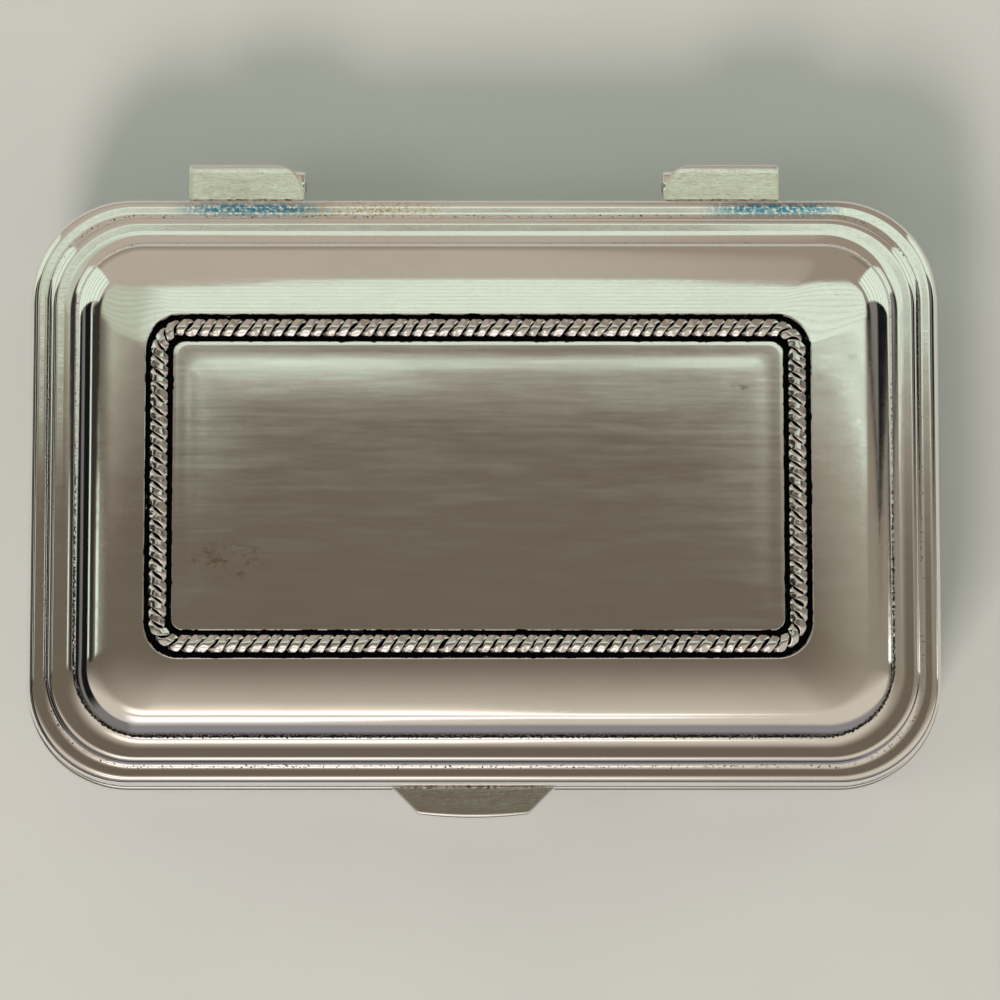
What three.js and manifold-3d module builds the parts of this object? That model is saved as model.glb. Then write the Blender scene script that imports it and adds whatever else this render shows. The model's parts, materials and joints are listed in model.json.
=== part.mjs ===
// A hinged trinket box of plated sheet metal: a pressed tray and a domed lid with a rope border,
// a thumb tab, two pinned lug hinges and a velvet lining.
// Millimetres, +Z up, +X along the length, the hinges at +Y, the origin under the middle of the tray.
import * as THREE from "three";
import { mergeVertices } from "three/addons/utils/BufferGeometryUtils.js";
import Module from "manifold-3d";

const wasm = await Module();
wasm.setup();

// Lid outline and sheet
const LID_WIDTH = 90;
const LID_DEPTH = 58.5;
const LID_CORNER = 10;
const SHEET = 0.9;

// Lid rim, from the outside in: skirt, first ledge, riser, second ledge
const LIP_ROUND = 0.2;
const SKIRT_HEIGHT = 3.2;
const SKIRT_ROUND = 0.9;
const LEDGE_WIDTH = 1.4;
const RISER_HOLLOW = 1.1;
const RISER_ROUND = 0.7;
const RISER_ANGLE = THREE.MathUtils.degToRad(47);
const SECOND_LEDGE_WIDTH = 0.65;

// Lid dome, from the second ledge up: cove, crease, shoulder, dome
const COVE_RADIUS = 3.0;
const COVE_ANGLE = THREE.MathUtils.degToRad(22);
const CREASE_RADIUS = 0.3;
const WALL_ANGLE = THREE.MathUtils.degToRad(48);
const SHOULDER_RADIUS = 4.6;
const SHOULDER_CORNER = 5.4;
const DOME_START_ANGLE = THREE.MathUtils.degToRad(12);
const DOME_END_ANGLE = THREE.MathUtils.degToRad(2);

// Groove round the centre panel, measured from the lid's outline
const GROOVE_INSET = 12.2;
const GROOVE_WIDTH = 2.7;
const GROOVE_DEPTH = 0.5;
const GROOVE_DRAFT = 0.12;
const GROOVE_CORNER = 3.5;
const PANEL_CORNER = 1.2;
const PANEL_CROWN = 0.05;
const PANEL_CROWN_WIDTH = 9;
const FRAME_OFF_CENTRE = -0.55;

// Rope that lies in the groove
const ROPE_WIDTH = 2.0;
const ROPE_HEIGHT = 1.1;
const ROPE_LAY = 3.8;
const ROPE_PLIES = 3;
const ROPE_VALLEY = 0.74;
const ROPE_STEPS_PER_TURN = 6;

// Tray
const BASE_HEIGHT = 14;
const RIM_REVEAL = 0.35;
const BEAD_RADIUS = 0.6;
const BASE_BOTTOM_RADIUS = 6;
const LID_GAP = 0.3;

// Bezel inside the tray's rim
const BEZEL_THICKNESS = 0.7;
const BEZEL_RISE = 1.2;
const BEZEL_DEPTH = 3.5;
const BEZEL_CHAMFER = 0.2;

// Velvet lining
const WALL_LINING = 0.9;
const LID_LINING = 0.7;
const LID_LINING_MARGIN = 0.6;
const PAD_THICKNESS = 2.0;
const PAD_CROWN = 0.5;
const PAD_EDGE_ROUND = 0.9;
const PAD_CROWN_WIDTH = 14;
const PAD_WRAP = THREE.MathUtils.degToRad(50);
const LINING_START = THREE.MathUtils.degToRad(60);

// Hinges
const HINGE_SPACING = 47.4;
const LUG_WIDTH = 11.5;
const LUG_TOP_AT_LID = 2.0;
const LUG_TOP_AT_BACK = 1.65;
const LUG_BACK_ROUND = 0.5;
const LUG_OVERHANG = 0.05;
const LUG_END_CUT = 2.6;
const LUG_FOOT_HEIGHT = 4.4;
const LUG_FOOT_THICKNESS = 1.1;
const EAR_RADIUS = 1.6;
const TONGUE_WIDTH = 4.6;
const PIN_RADIUS = 0.6;
const PIN_END = 0.15;
const OPEN_ANGLE = THREE.MathUtils.degToRad(100);

// Thumb tab
const TAB_ROOT_WIDTH = 16.3;
const TAB_LIP_WIDTH = 10.8;
const TAB_REACH = 3.1;
const TAB_BOW = 0.35;
const TAB_THICKNESS = 1.0;
const TAB_ROUND = 0.4;
const TAB_LIFT = 0.2;
const TAB_OFF_CENTRE = -1.0;

// Clearances
const SEAT_GAP = 0.1;
const RUNNING_GAP = 0.25;
const PIN_GAP = 0.1;
const STOP_GAP = 0.1;

// Smoothness
const CORNER_STEPS = 8;
const ARC_DIVISIONS = 2;
const ROUND_SEGMENTS = 24;
const LEAST_CORNER = 0.3;
const SAME_POINT = 1e-4;

const QUARTER = Math.PI / 2;

// Sizes that follow from the ones above
const BASE_WIDTH = LID_WIDTH + 2 * RIM_REVEAL;
const BASE_DEPTH = LID_DEPTH + 2 * RIM_REVEAL;
const BASE_CORNER = LID_CORNER + RIM_REVEAL;
const LID_BOTTOM = BASE_HEIGHT + LID_GAP;
const LID_BACK = LID_DEPTH / 2;
const BASE_BACK = BASE_DEPTH / 2;
const ROPE_INSET = GROOVE_INSET + GROOVE_WIDTH / 2;
const WALL_INSET = BEAD_RADIUS;
const INNER_WALL_INSET = WALL_INSET + SHEET;
const AXIS_Y = BASE_BACK + RUNNING_GAP + EAR_RADIUS;
const LUG_UNDERSIDE = EAR_RADIUS + RUNNING_GAP;
const AXIS_Z = LID_BOTTOM - LUG_UNDERSIDE;

const silverPlate = new THREE.MeshStandardMaterial({
  color: 0xb9b2a8,
  metalness: 1,
  roughness: 0.14,
});
const oxidisedSilver = new THREE.MeshStandardMaterial({
  color: 0xa49d94,
  metalness: 1,
  roughness: 0.25,
});
const pinSteel = new THREE.MeshStandardMaterial({
  color: 0x8d8a86,
  metalness: 1,
  roughness: 0.35,
});
const velvet = new THREE.MeshStandardMaterial({
  color: 0x1f2a4d,
  metalness: 0,
  roughness: 1,
});

// A point moved down the normal of a slope: from a hollow arc's centre to the arc, or a round arc to its centre
function downNormal(point, slope, distance) {
  return new THREE.Vector2(
    point.x + distance * Math.sin(slope),
    point.y - distance * Math.cos(slope),
  );
}

// Centres of the lid's arcs, which run on smoothly, as inset from the outline and height above the lower edge
function lidArcs() {
  const riserFoot = new THREE.Vector2(LEDGE_WIDTH, SKIRT_HEIGHT + RISER_HOLLOW);
  const riserHead = downNormal(riserFoot, RISER_ANGLE, RISER_HOLLOW + RISER_ROUND);
  const secondLedge = riserHead.y + RISER_ROUND;
  const cove = new THREE.Vector2(riserHead.x + SECOND_LEDGE_WIDTH, secondLedge + COVE_RADIUS);
  const crease = downNormal(cove, COVE_ANGLE, COVE_RADIUS - CREASE_RADIUS);
  const shoulder = downNormal(crease, WALL_ANGLE, CREASE_RADIUS + SHOULDER_RADIUS);
  const domeStart = downNormal(shoulder, DOME_START_ANGLE, -SHOULDER_RADIUS);
  const domeRadius =
    (GROOVE_INSET - domeStart.x) / (Math.sin(DOME_START_ANGLE) - Math.sin(DOME_END_ANGLE));
  const dome = downNormal(domeStart, DOME_START_ANGLE, domeRadius);
  const domeTop = dome.y + domeRadius * Math.cos(DOME_END_ANGLE);
  return {
    riserFoot,
    riserHead,
    secondLedge,
    cove,
    crease,
    shoulder,
    domeStart,
    dome,
    domeRadius,
    domeTop,
  };
}

const ARCS = lidArcs();
const CEILING = ARCS.domeTop - SHEET;
const GROOVE_FLOOR = ARCS.domeTop - GROOVE_DEPTH;

// Corner radius of the lid's plan outline at an inset: it tightens to the shoulder, the groove and the panel
function lidCorner(inset) {
  const places = [0, ARCS.domeStart.x, GROOVE_INSET, GROOVE_INSET + GROOVE_WIDTH];
  const radii = [LID_CORNER, SHOULDER_CORNER, GROOVE_CORNER, PANEL_CORNER];
  for (let i = 1; i < places.length; i++) {
    if (inset <= places[i]) {
      const along = (inset - places[i - 1]) / (places[i] - places[i - 1]);
      return THREE.MathUtils.lerp(radii[i - 1], radii[i], along);
    }
  }
  return PANEL_CORNER;
}

// The rope frame sits a little left of the lid's centre, so the dome's rings drift over to it
function lidCentre(inset) {
  return FRAME_OFF_CENTRE * THREE.MathUtils.smoothstep(inset, ARCS.domeStart.x, GROOVE_INSET);
}

// One ring of a rounded rectangle, counter-clockwise seen from above
function ring(halfWidth, halfDepth, radius, centreX, z) {
  const points = [];
  const corners = [
    [1, 1],
    [-1, 1],
    [-1, -1],
    [1, -1],
  ];
  corners.forEach(([sideX, sideY], corner) => {
    for (let step = 0; step <= CORNER_STEPS; step++) {
      const angle = QUARTER * (corner + step / CORNER_STEPS);
      const x = centreX + sideX * (halfWidth - radius) + radius * Math.cos(angle);
      const y = sideY * (halfDepth - radius) + radius * Math.sin(angle);
      points.push(new THREE.Vector3(x, y, z));
    }
  });
  return points;
}

// A ring of the lid, for a profile point of inset and height above the lid's lower edge
function lidRing(point) {
  const inset = point.x;
  const radius = lidCorner(inset);
  const halfWidth = LID_WIDTH / 2 - inset;
  const halfDepth = LID_DEPTH / 2 - inset;
  return ring(halfWidth, halfDepth, radius, lidCentre(inset), LID_BOTTOM + point.y);
}

// A ring of the tray, for a profile point of inset from the bead and height above the table
function baseRing(point) {
  const radius = Math.max(BASE_CORNER - point.x, LEAST_CORNER);
  return ring(BASE_WIDTH / 2 - point.x, BASE_DEPTH / 2 - point.x, radius, 0, point.y);
}

// A profile's points, without any that repeat
function profile(path) {
  const points = path.getPoints(ARC_DIVISIONS);
  return points.filter((p, i) => i === 0 || p.distanceTo(points[i - 1]) > SAME_POINT);
}

// A body through rings of equal point count: closed on itself, or capped at its first and last ring
function loft(rings, closed) {
  const count = rings[0].length;
  const vertices = rings.flat();
  const triangles = [];
  const bands = closed ? rings.length : rings.length - 1;
  for (let band = 0; band < bands; band++) {
    const low = band * count;
    const high = ((band + 1) % rings.length) * count;
    for (let i = 0; i < count; i++) {
      const next = (i + 1) % count;
      triangles.push(low + i, low + next, high + next);
      triangles.push(low + i, high + next, high + i);
    }
  }
  if (!closed) {
    const last = (rings.length - 1) * count;
    const first = vertices.push(middle(rings[0])) - 1;
    const final = vertices.push(middle(rings.at(-1))) - 1;
    for (let i = 0; i < count; i++) {
      const next = (i + 1) % count;
      triangles.push(first, next, i);
      triangles.push(final, last + i, last + next);
    }
  }
  return new THREE.BufferGeometry().setFromPoints(vertices).setIndex(triangles);
}

// Middle of a ring
function middle(points) {
  const sum = points.reduce((total, p) => total.add(p), new THREE.Vector3());
  return sum.divideScalar(points.length);
}

// A geometry as a solid for joining and cutting
function solid(geometry) {
  const bare = geometry.clone();
  bare.deleteAttribute("normal");
  bare.deleteAttribute("uv");
  const merged = mergeVertices(bare, SAME_POINT);
  return new wasm.Manifold(
    new wasm.Mesh({
      numProp: 3,
      vertProperties: new Float32Array(merged.attributes.position.array),
      triVerts: new Uint32Array(merged.index.array),
    }),
  );
}

// A solid back as a geometry
function geometryOf(body) {
  const mesh = body.getMesh();
  return new THREE.BufferGeometry()
    .setAttribute("position", new THREE.BufferAttribute(mesh.vertProperties, 3))
    .setIndex(new THREE.BufferAttribute(mesh.triVerts, 1));
}

// A side profile in Y and Z, extruded along X about a centre
function slab(shape, width, centreX) {
  const geometry = new THREE.ExtrudeGeometry(shape, {
    depth: width,
    bevelEnabled: false,
    curveSegments: ROUND_SEGMENTS / 2,
  });
  const alongX = new THREE.Matrix4().makeBasis(
    new THREE.Vector3(0, 1, 0),
    new THREE.Vector3(0, 0, 1),
    new THREE.Vector3(1, 0, 0),
  );
  return geometry.applyMatrix4(alongX).translate(centreX - width / 2, 0, 0);
}

// A round bar along the hinge axis
function axisBar(radius, length, centreX) {
  return new THREE.CylinderGeometry(radius, radius, length, ROUND_SEGMENTS)
    .rotateZ(QUARTER)
    .translate(centreX, AXIS_Y, AXIS_Z);
}

function named(name, geometry, material) {
  const mesh = new THREE.Mesh(geometry, material);
  mesh.name = name;
  return mesh;
}

// Lid: from the ceiling inside, down the inside of the rim, and back over the outside to the panel
function lidShell() {
  const { riserFoot, riserHead, secondLedge, cove, crease, shoulder, dome, domeRadius, domeTop } = ARCS;
  const inside = new THREE.Path();
  inside.moveTo(SHEET, 0);
  inside.lineTo(SHEET, SKIRT_HEIGHT - SHEET);
  inside.lineTo(LEDGE_WIDTH, SKIRT_HEIGHT - SHEET);
  inside.lineTo(riserHead.x, secondLedge - SHEET);
  inside.absarc(cove.x, cove.y, COVE_RADIUS + SHEET, -QUARTER, COVE_ANGLE - QUARTER, false);
  inside.absarc(
    crease.x,
    crease.y,
    CREASE_RADIUS + SHEET,
    COVE_ANGLE - QUARTER,
    WALL_ANGLE - QUARTER,
    false,
  );
  inside.absarc(
    shoulder.x,
    shoulder.y,
    SHOULDER_RADIUS - SHEET,
    QUARTER + WALL_ANGLE,
    QUARTER + DOME_START_ANGLE,
    true,
  );
  inside.absarc(
    dome.x,
    dome.y,
    domeRadius - SHEET,
    QUARTER + DOME_START_ANGLE,
    QUARTER + DOME_END_ANGLE,
    true,
  );

  const grooveEnd = GROOVE_INSET + GROOVE_WIDTH;
  const outside = new THREE.Path();
  outside.moveTo(LIP_ROUND, 0);
  outside.absarc(LIP_ROUND, LIP_ROUND, LIP_ROUND, -QUARTER, -2 * QUARTER, true);
  outside.absarc(
    SKIRT_ROUND,
    SKIRT_HEIGHT - SKIRT_ROUND,
    SKIRT_ROUND,
    2 * QUARTER,
    QUARTER,
    true,
  );
  outside.absarc(riserFoot.x, riserFoot.y, RISER_HOLLOW, -QUARTER, RISER_ANGLE - QUARTER, false);
  outside.absarc(riserHead.x, riserHead.y, RISER_ROUND, QUARTER + RISER_ANGLE, QUARTER, true);
  outside.absarc(cove.x, cove.y, COVE_RADIUS, -QUARTER, COVE_ANGLE - QUARTER, false);
  outside.absarc(
    crease.x,
    crease.y,
    CREASE_RADIUS,
    COVE_ANGLE - QUARTER,
    WALL_ANGLE - QUARTER,
    false,
  );
  outside.absarc(
    shoulder.x,
    shoulder.y,
    SHOULDER_RADIUS,
    QUARTER + WALL_ANGLE,
    QUARTER + DOME_START_ANGLE,
    true,
  );
  outside.absarc(
    dome.x,
    dome.y,
    domeRadius,
    QUARTER + DOME_START_ANGLE,
    QUARTER + DOME_END_ANGLE,
    true,
  );
  outside.lineTo(GROOVE_INSET + GROOVE_DRAFT, GROOVE_FLOOR);
  outside.lineTo(grooveEnd - GROOVE_DRAFT, GROOVE_FLOOR);
  outside.lineTo(grooveEnd, domeTop);
  outside.lineTo(grooveEnd + PANEL_CROWN_WIDTH, domeTop + PANEL_CROWN);

  const rings = [...profile(inside).reverse(), ...profile(outside)].map(lidRing);
  return named("lid_shell", loft(rings, false), silverPlate);
}

// The rope's centre line in plan: straight runs and round corners, counter-clockwise
function ropeLine() {
  const halfWidth = LID_WIDTH / 2 - ROPE_INSET;
  const halfDepth = LID_DEPTH / 2 - ROPE_INSET;
  const radius = lidCorner(ROPE_INSET);
  const right = FRAME_OFF_CENTRE + halfWidth - radius;
  const left = FRAME_OFF_CENTRE - halfWidth + radius;
  const line = new THREE.Path();
  line.moveTo(right + radius, radius - halfDepth);
  line.lineTo(right + radius, halfDepth - radius);
  line.absarc(right, halfDepth - radius, radius, 0, QUARTER, false);
  line.absarc(left, halfDepth - radius, radius, QUARTER, 2 * QUARTER, false);
  line.absarc(left, radius - halfDepth, radius, 2 * QUARTER, 3 * QUARTER, false);
  line.absarc(right, radius - halfDepth, radius, 3 * QUARTER, 4 * QUARTER, false);
  return line;
}

// Rope: a flattened section of as many lobes as plies, turned once in each lay, lying in the groove
function ropeBorder() {
  const line = ropeLine();
  const turns = Math.round(line.getLength() / ROPE_LAY);
  const steps = turns * ROPE_STEPS_PER_TURN;
  const sides = 2 * ROPE_PLIES;
  const centreZ = LID_BOTTOM + GROOVE_FLOOR + SEAT_GAP + ROPE_HEIGHT / 2;
  const rings = [];
  for (let step = 0; step < steps; step++) {
    const along = step / steps;
    const place = line.getPoint(along);
    const heading = line.getTangent(along);
    const twist = 2 * Math.PI * turns * along;
    const section = [];
    for (let side = sides - 1; side >= 0; side--) {
      const reach = side % 2 === 0 ? 1 : ROPE_VALLEY;
      const angle = twist + (2 * Math.PI * side) / sides;
      const outward = (reach * Math.cos(angle) * ROPE_WIDTH) / 2;
      const upward = (reach * Math.sin(angle) * ROPE_HEIGHT) / 2;
      section.push(
        new THREE.Vector3(
          place.x + heading.y * outward,
          place.y - heading.x * outward,
          centreZ + upward,
        ),
      );
    }
    rings.push(section);
  }
  return named("rope_border", loft(rings, true), oxidisedSilver);
}

// Thumb tab: a tapered plate with a bowed, rounded lip, soldered to the front of the skirt
function thumbTab() {
  const root = -LID_BACK - SEAT_GAP;
  const lip = root - TAB_REACH;
  const bottom = LID_BOTTOM + TAB_LIFT;
  const top = bottom + TAB_THICKNESS;
  const side = new THREE.Shape();
  side.moveTo(root, bottom);
  side.lineTo(root, top);
  side.lineTo(lip + TAB_ROUND, top);
  side.quadraticCurveTo(lip, top, lip, top - TAB_ROUND);
  side.lineTo(lip, bottom);
  const plate = solid(slab(side, TAB_ROOT_WIDTH, TAB_OFF_CENTRE));

  const halfRoot = TAB_ROOT_WIDTH / 2;
  const halfLip = TAB_LIP_WIDTH / 2;
  const outline = new THREE.Shape();
  outline.moveTo(-halfRoot, root);
  outline.lineTo(-halfLip, lip + TAB_BOW);
  outline.quadraticCurveTo(0, lip - TAB_BOW, halfLip, lip + TAB_BOW);
  outline.lineTo(halfRoot, root);
  const plan = new THREE.ExtrudeGeometry(outline, {
    depth: TAB_THICKNESS,
    bevelEnabled: false,
    curveSegments: CORNER_STEPS,
  }).translate(TAB_OFF_CENTRE, 0, bottom);
  return named("thumb_tab", geometryOf(plate.intersect(solid(plan))), silverPlate);
}

// Upper lug: a plate with a sloping top and a cut inner end, and a tongue round the pin below it
function lidHingeLug(name, side) {
  const centreX = (side * HINGE_SPACING) / 2;
  const front = LID_BACK + SEAT_GAP;
  const back = AXIS_Y + EAR_RADIUS + LUG_OVERHANG;
  const topFront = LID_BOTTOM + LUG_TOP_AT_LID;
  const topBack = LID_BOTTOM + LUG_TOP_AT_BACK;

  const plateSide = new THREE.Shape();
  plateSide.moveTo(front, LID_BOTTOM);
  plateSide.lineTo(back, LID_BOTTOM);
  plateSide.lineTo(back, topBack - LUG_BACK_ROUND);
  plateSide.quadraticCurveTo(back, topBack, back - LUG_BACK_ROUND, topBack);
  plateSide.lineTo(front, topFront);
  const plate = solid(slab(plateSide, LUG_WIDTH, centreX));

  const outer = centreX + (side * LUG_WIDTH) / 2;
  const inner = centreX - (side * LUG_WIDTH) / 2;
  const cutBack = inner + side * LUG_END_CUT;
  const planShape = new THREE.Shape();
  planShape.moveTo(outer, front);
  planShape.lineTo(outer, back);
  planShape.lineTo(cutBack, back);
  planShape.quadraticCurveTo(inner, back, inner, front);
  const plan = new THREE.ExtrudeGeometry(planShape, {
    depth: LUG_TOP_AT_LID,
    bevelEnabled: false,
    curveSegments: CORNER_STEPS,
  }).translate(0, 0, LID_BOTTOM);

  const barrel = EAR_RADIUS - RUNNING_GAP;
  const rootTop = LID_BOTTOM + LUG_TOP_AT_BACK / 2;
  const tongueSide = new THREE.Shape();
  tongueSide.moveTo(AXIS_Y - barrel, rootTop);
  tongueSide.lineTo(AXIS_Y - barrel, AXIS_Z);
  tongueSide.absarc(AXIS_Y, AXIS_Z, barrel, 2 * QUARTER, 4 * QUARTER, false);
  tongueSide.lineTo(AXIS_Y + barrel, rootTop);
  const tongue = solid(slab(tongueSide, TONGUE_WIDTH, centreX));
  const bore = solid(axisBar(PIN_RADIUS + PIN_GAP, LUG_WIDTH, centreX));

  const lug = plate.intersect(solid(plan)).add(tongue).subtract(bore);
  return named(name, geometryOf(lug), silverPlate);
}

// Lower lug: two round ears on a foot soldered to the tray, with a flat heel that stops the open lid
function baseHingeLug(name, side) {
  const centreX = (side * HINGE_SPACING) / 2;
  const front = BASE_BACK - WALL_INSET + SEAT_GAP;
  const footTop = BASE_HEIGHT - 2 * BEAD_RADIUS - RUNNING_GAP;
  const footBottom = footTop - LUG_FOOT_HEIGHT;
  const past = OPEN_ANGLE - QUARTER;
  const heelReach = LUG_UNDERSIDE - STOP_GAP;
  // A point of the heel, at a distance down the face that the open lug's underside lies along
  const heel = (down) => [
    AXIS_Y + heelReach * Math.cos(past) - down * Math.sin(past),
    AXIS_Z - heelReach * Math.sin(past) - down * Math.cos(past),
  ];

  const footSide = new THREE.Shape();
  footSide.moveTo(front, footTop);
  footSide.lineTo(front, footBottom);
  footSide.lineTo(front + LUG_FOOT_THICKNESS, footBottom);
  footSide.lineTo(...heel(EAR_RADIUS - RUNNING_GAP));
  footSide.lineTo(...heel(0));
  footSide.lineTo(AXIS_Y, footTop);
  const foot = solid(slab(footSide, LUG_WIDTH, centreX));
  const ears = solid(axisBar(EAR_RADIUS, LUG_WIDTH, centreX));

  // The slot for the tongue runs out past the heel and below the foot
  const slotFront = AXIS_Y - EAR_RADIUS;
  const slotBack = AXIS_Y + LUG_UNDERSIDE + RUNNING_GAP;
  const slotBottom = footBottom - RUNNING_GAP;
  const slotSide = new THREE.Shape();
  slotSide.moveTo(slotFront, slotBottom);
  slotSide.lineTo(slotBack, slotBottom);
  slotSide.lineTo(slotBack, LID_BOTTOM);
  slotSide.lineTo(slotFront, LID_BOTTOM);
  const slot = solid(slab(slotSide, TONGUE_WIDTH + 2 * RUNNING_GAP, centreX));
  const bore = solid(axisBar(PIN_RADIUS + PIN_GAP, 2 * LUG_WIDTH, centreX));

  return named(name, geometryOf(foot.add(ears).subtract(slot).subtract(bore)), silverPlate);
}

// Hinge pin: a rod with domed ends that just show past the ears
function hingePin(name, side) {
  const halfLength = LUG_WIDTH / 2 + PIN_END;
  const outline = new THREE.Path();
  outline.moveTo(0, -halfLength);
  outline.quadraticCurveTo(PIN_RADIUS, -halfLength, PIN_RADIUS, PIN_END - halfLength);
  outline.lineTo(PIN_RADIUS, halfLength - PIN_END);
  outline.quadraticCurveTo(PIN_RADIUS, halfLength, 0, halfLength);
  const geometry = new THREE.LatheGeometry(profile(outline), ROUND_SEGMENTS)
    .rotateZ(QUARTER)
    .translate((side * HINGE_SPACING) / 2, AXIS_Y, AXIS_Z);
  return named(name, geometryOf(solid(geometry)), pinSteel);
}

// Tray: from the underside up the outside, over the rolled rim and down the inside to the floor
function baseShell() {
  const bend = WALL_INSET + BASE_BOTTOM_RADIUS;
  const path = new THREE.Path();
  path.moveTo(bend, 0);
  path.absarc(bend, BASE_BOTTOM_RADIUS, BASE_BOTTOM_RADIUS, -QUARTER, -2 * QUARTER, true);
  path.lineTo(WALL_INSET, BASE_HEIGHT - 2 * BEAD_RADIUS);
  path.absarc(BEAD_RADIUS, BASE_HEIGHT - BEAD_RADIUS, BEAD_RADIUS, -QUARTER, -3 * QUARTER, true);
  path.lineTo(INNER_WALL_INSET, BASE_HEIGHT);
  path.absarc(
    bend,
    BASE_BOTTOM_RADIUS,
    BASE_BOTTOM_RADIUS - SHEET,
    -2 * QUARTER,
    -QUARTER,
    false,
  );
  return named("base_shell", loft(profile(path).map(baseRing), false), silverPlate);
}

// Bezel: a band inside the tray's wall that stands above the rim and centres the lid
function locatingBezel() {
  const outer = INNER_WALL_INSET + SEAT_GAP;
  const inner = outer + BEZEL_THICKNESS;
  const bottom = BASE_HEIGHT - BEZEL_DEPTH;
  const top = BASE_HEIGHT + BEZEL_RISE;
  const path = new THREE.Path();
  path.moveTo(outer, bottom);
  path.lineTo(outer, top - BEZEL_CHAMFER);
  path.lineTo(outer + BEZEL_CHAMFER, top);
  path.lineTo(inner, top);
  path.lineTo(inner, bottom);
  return named("locating_bezel", loft(profile(path).map(baseRing), true), silverPlate);
}

// Floor pad: follows the tray's round bottom edge, with a soft edge and a low crown
function baseFloorPad() {
  const bend = WALL_INSET + BASE_BOTTOM_RADIUS;
  const radius = BASE_BOTTOM_RADIUS - SHEET - SEAT_GAP;
  const top = SHEET + SEAT_GAP + PAD_THICKNESS;
  const edge = bend - radius * Math.sin(PAD_WRAP);
  const path = new THREE.Path();
  path.moveTo(bend, BASE_BOTTOM_RADIUS - radius);
  path.absarc(bend, BASE_BOTTOM_RADIUS, radius, -QUARTER, -QUARTER - PAD_WRAP, true);
  path.quadraticCurveTo(edge, top, edge + PAD_EDGE_ROUND, top);
  path.quadraticCurveTo(
    edge + PAD_CROWN_WIDTH / 2,
    top + PAD_CROWN,
    edge + PAD_CROWN_WIDTH,
    top + PAD_CROWN,
  );
  return named("base_floor_pad", loft(profile(path).map(baseRing), false), velvet);
}

// Wall lining: a band that starts above the floor pad, follows the wall and stops under the bezel
function baseWallLining() {
  const bend = WALL_INSET + BASE_BOTTOM_RADIUS;
  const outer = BASE_BOTTOM_RADIUS - SHEET - SEAT_GAP;
  const inner = outer - WALL_LINING;
  const top = BASE_HEIGHT - BEZEL_DEPTH - RUNNING_GAP;
  const start = -QUARTER - LINING_START;
  const path = new THREE.Path();
  path.moveTo(bend + outer * Math.cos(start), BASE_BOTTOM_RADIUS + outer * Math.sin(start));
  path.absarc(bend, BASE_BOTTOM_RADIUS, outer, start, -2 * QUARTER, true);
  path.lineTo(bend - outer, top);
  path.lineTo(bend - inner, top);
  path.absarc(bend, BASE_BOTTOM_RADIUS, inner, -2 * QUARTER, start, false);
  return named("base_wall_lining", loft(profile(path).map(baseRing), true), velvet);
}

// Lid lining: a thin panel that follows the lid's ceiling
function lidLining() {
  const { dome, domeRadius, domeStart } = ARCS;
  const radius = domeRadius - SHEET - SEAT_GAP;
  const edge = domeStart.x + SHEET + LID_LINING_MARGIN;
  const edgeAngle = Math.acos((edge - dome.x) / radius);
  const low = CEILING - SEAT_GAP - LID_LINING;
  const path = new THREE.Path();
  path.moveTo(GROOVE_INSET, low);
  path.lineTo(edge + LID_LINING, low);
  path.lineTo(edge, dome.y + radius * Math.sin(edgeAngle) - LID_LINING / 2);
  path.absarc(dome.x, dome.y, radius, edgeAngle, QUARTER + DOME_END_ANGLE, true);
  return named("lid_lining", loft(profile(path).map(lidRing), false), velvet);
}

const base = new THREE.Group();
base.add(baseShell(), locatingBezel(), baseFloorPad(), baseWallLining());
const lid = new THREE.Group();
lid.add(lidShell(), ropeBorder(), thumbTab(), lidLining());
for (const [word, side] of [
  ["left", -1],
  ["right", 1],
]) {
  base.add(baseHingeLug(`base_hinge_lug_${word}`, side), hingePin(`hinge_pin_${word}`, side));
  lid.add(lidHingeLug(`lid_hinge_lug_${word}`, side));
}

const trinketBox = new THREE.Group();
trinketBox.add(base, lid);
export default trinketBox;
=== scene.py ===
"""Looks of a hinged trinket box of silver-plated sheet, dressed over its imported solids.

Lengths are in millimetres and angles in degrees, unless a name says otherwise. Meshes are scaled to metres
when they are made.
"""

from __future__ import annotations

import json
import logging
import math
from dataclasses import dataclass, field
from enum import Enum
from typing import Callable, Optional, Sequence

import bmesh
import bpy
import numpy as np
from bpy.types import Material, Node, NodeSocket, NodeTree, Object
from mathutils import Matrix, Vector, noise

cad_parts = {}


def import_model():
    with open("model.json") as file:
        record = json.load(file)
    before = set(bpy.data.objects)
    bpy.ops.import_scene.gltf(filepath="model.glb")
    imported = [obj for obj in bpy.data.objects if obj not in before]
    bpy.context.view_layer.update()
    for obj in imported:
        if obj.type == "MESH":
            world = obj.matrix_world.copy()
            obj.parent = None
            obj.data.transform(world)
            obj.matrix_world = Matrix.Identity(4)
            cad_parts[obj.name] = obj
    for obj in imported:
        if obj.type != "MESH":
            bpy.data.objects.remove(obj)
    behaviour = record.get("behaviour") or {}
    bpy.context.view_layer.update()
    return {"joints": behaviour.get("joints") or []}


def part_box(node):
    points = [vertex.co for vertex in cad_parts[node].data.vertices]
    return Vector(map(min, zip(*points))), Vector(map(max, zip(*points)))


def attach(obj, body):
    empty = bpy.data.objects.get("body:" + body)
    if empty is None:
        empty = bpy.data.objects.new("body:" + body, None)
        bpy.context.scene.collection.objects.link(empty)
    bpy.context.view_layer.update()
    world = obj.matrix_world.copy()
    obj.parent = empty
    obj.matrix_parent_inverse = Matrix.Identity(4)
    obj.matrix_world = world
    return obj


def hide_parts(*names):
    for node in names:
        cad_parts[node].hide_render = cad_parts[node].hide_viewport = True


LOG = logging.getLogger("trinket_box")
METRES = 0.001
LARGEST_CUT = 0.49

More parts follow.
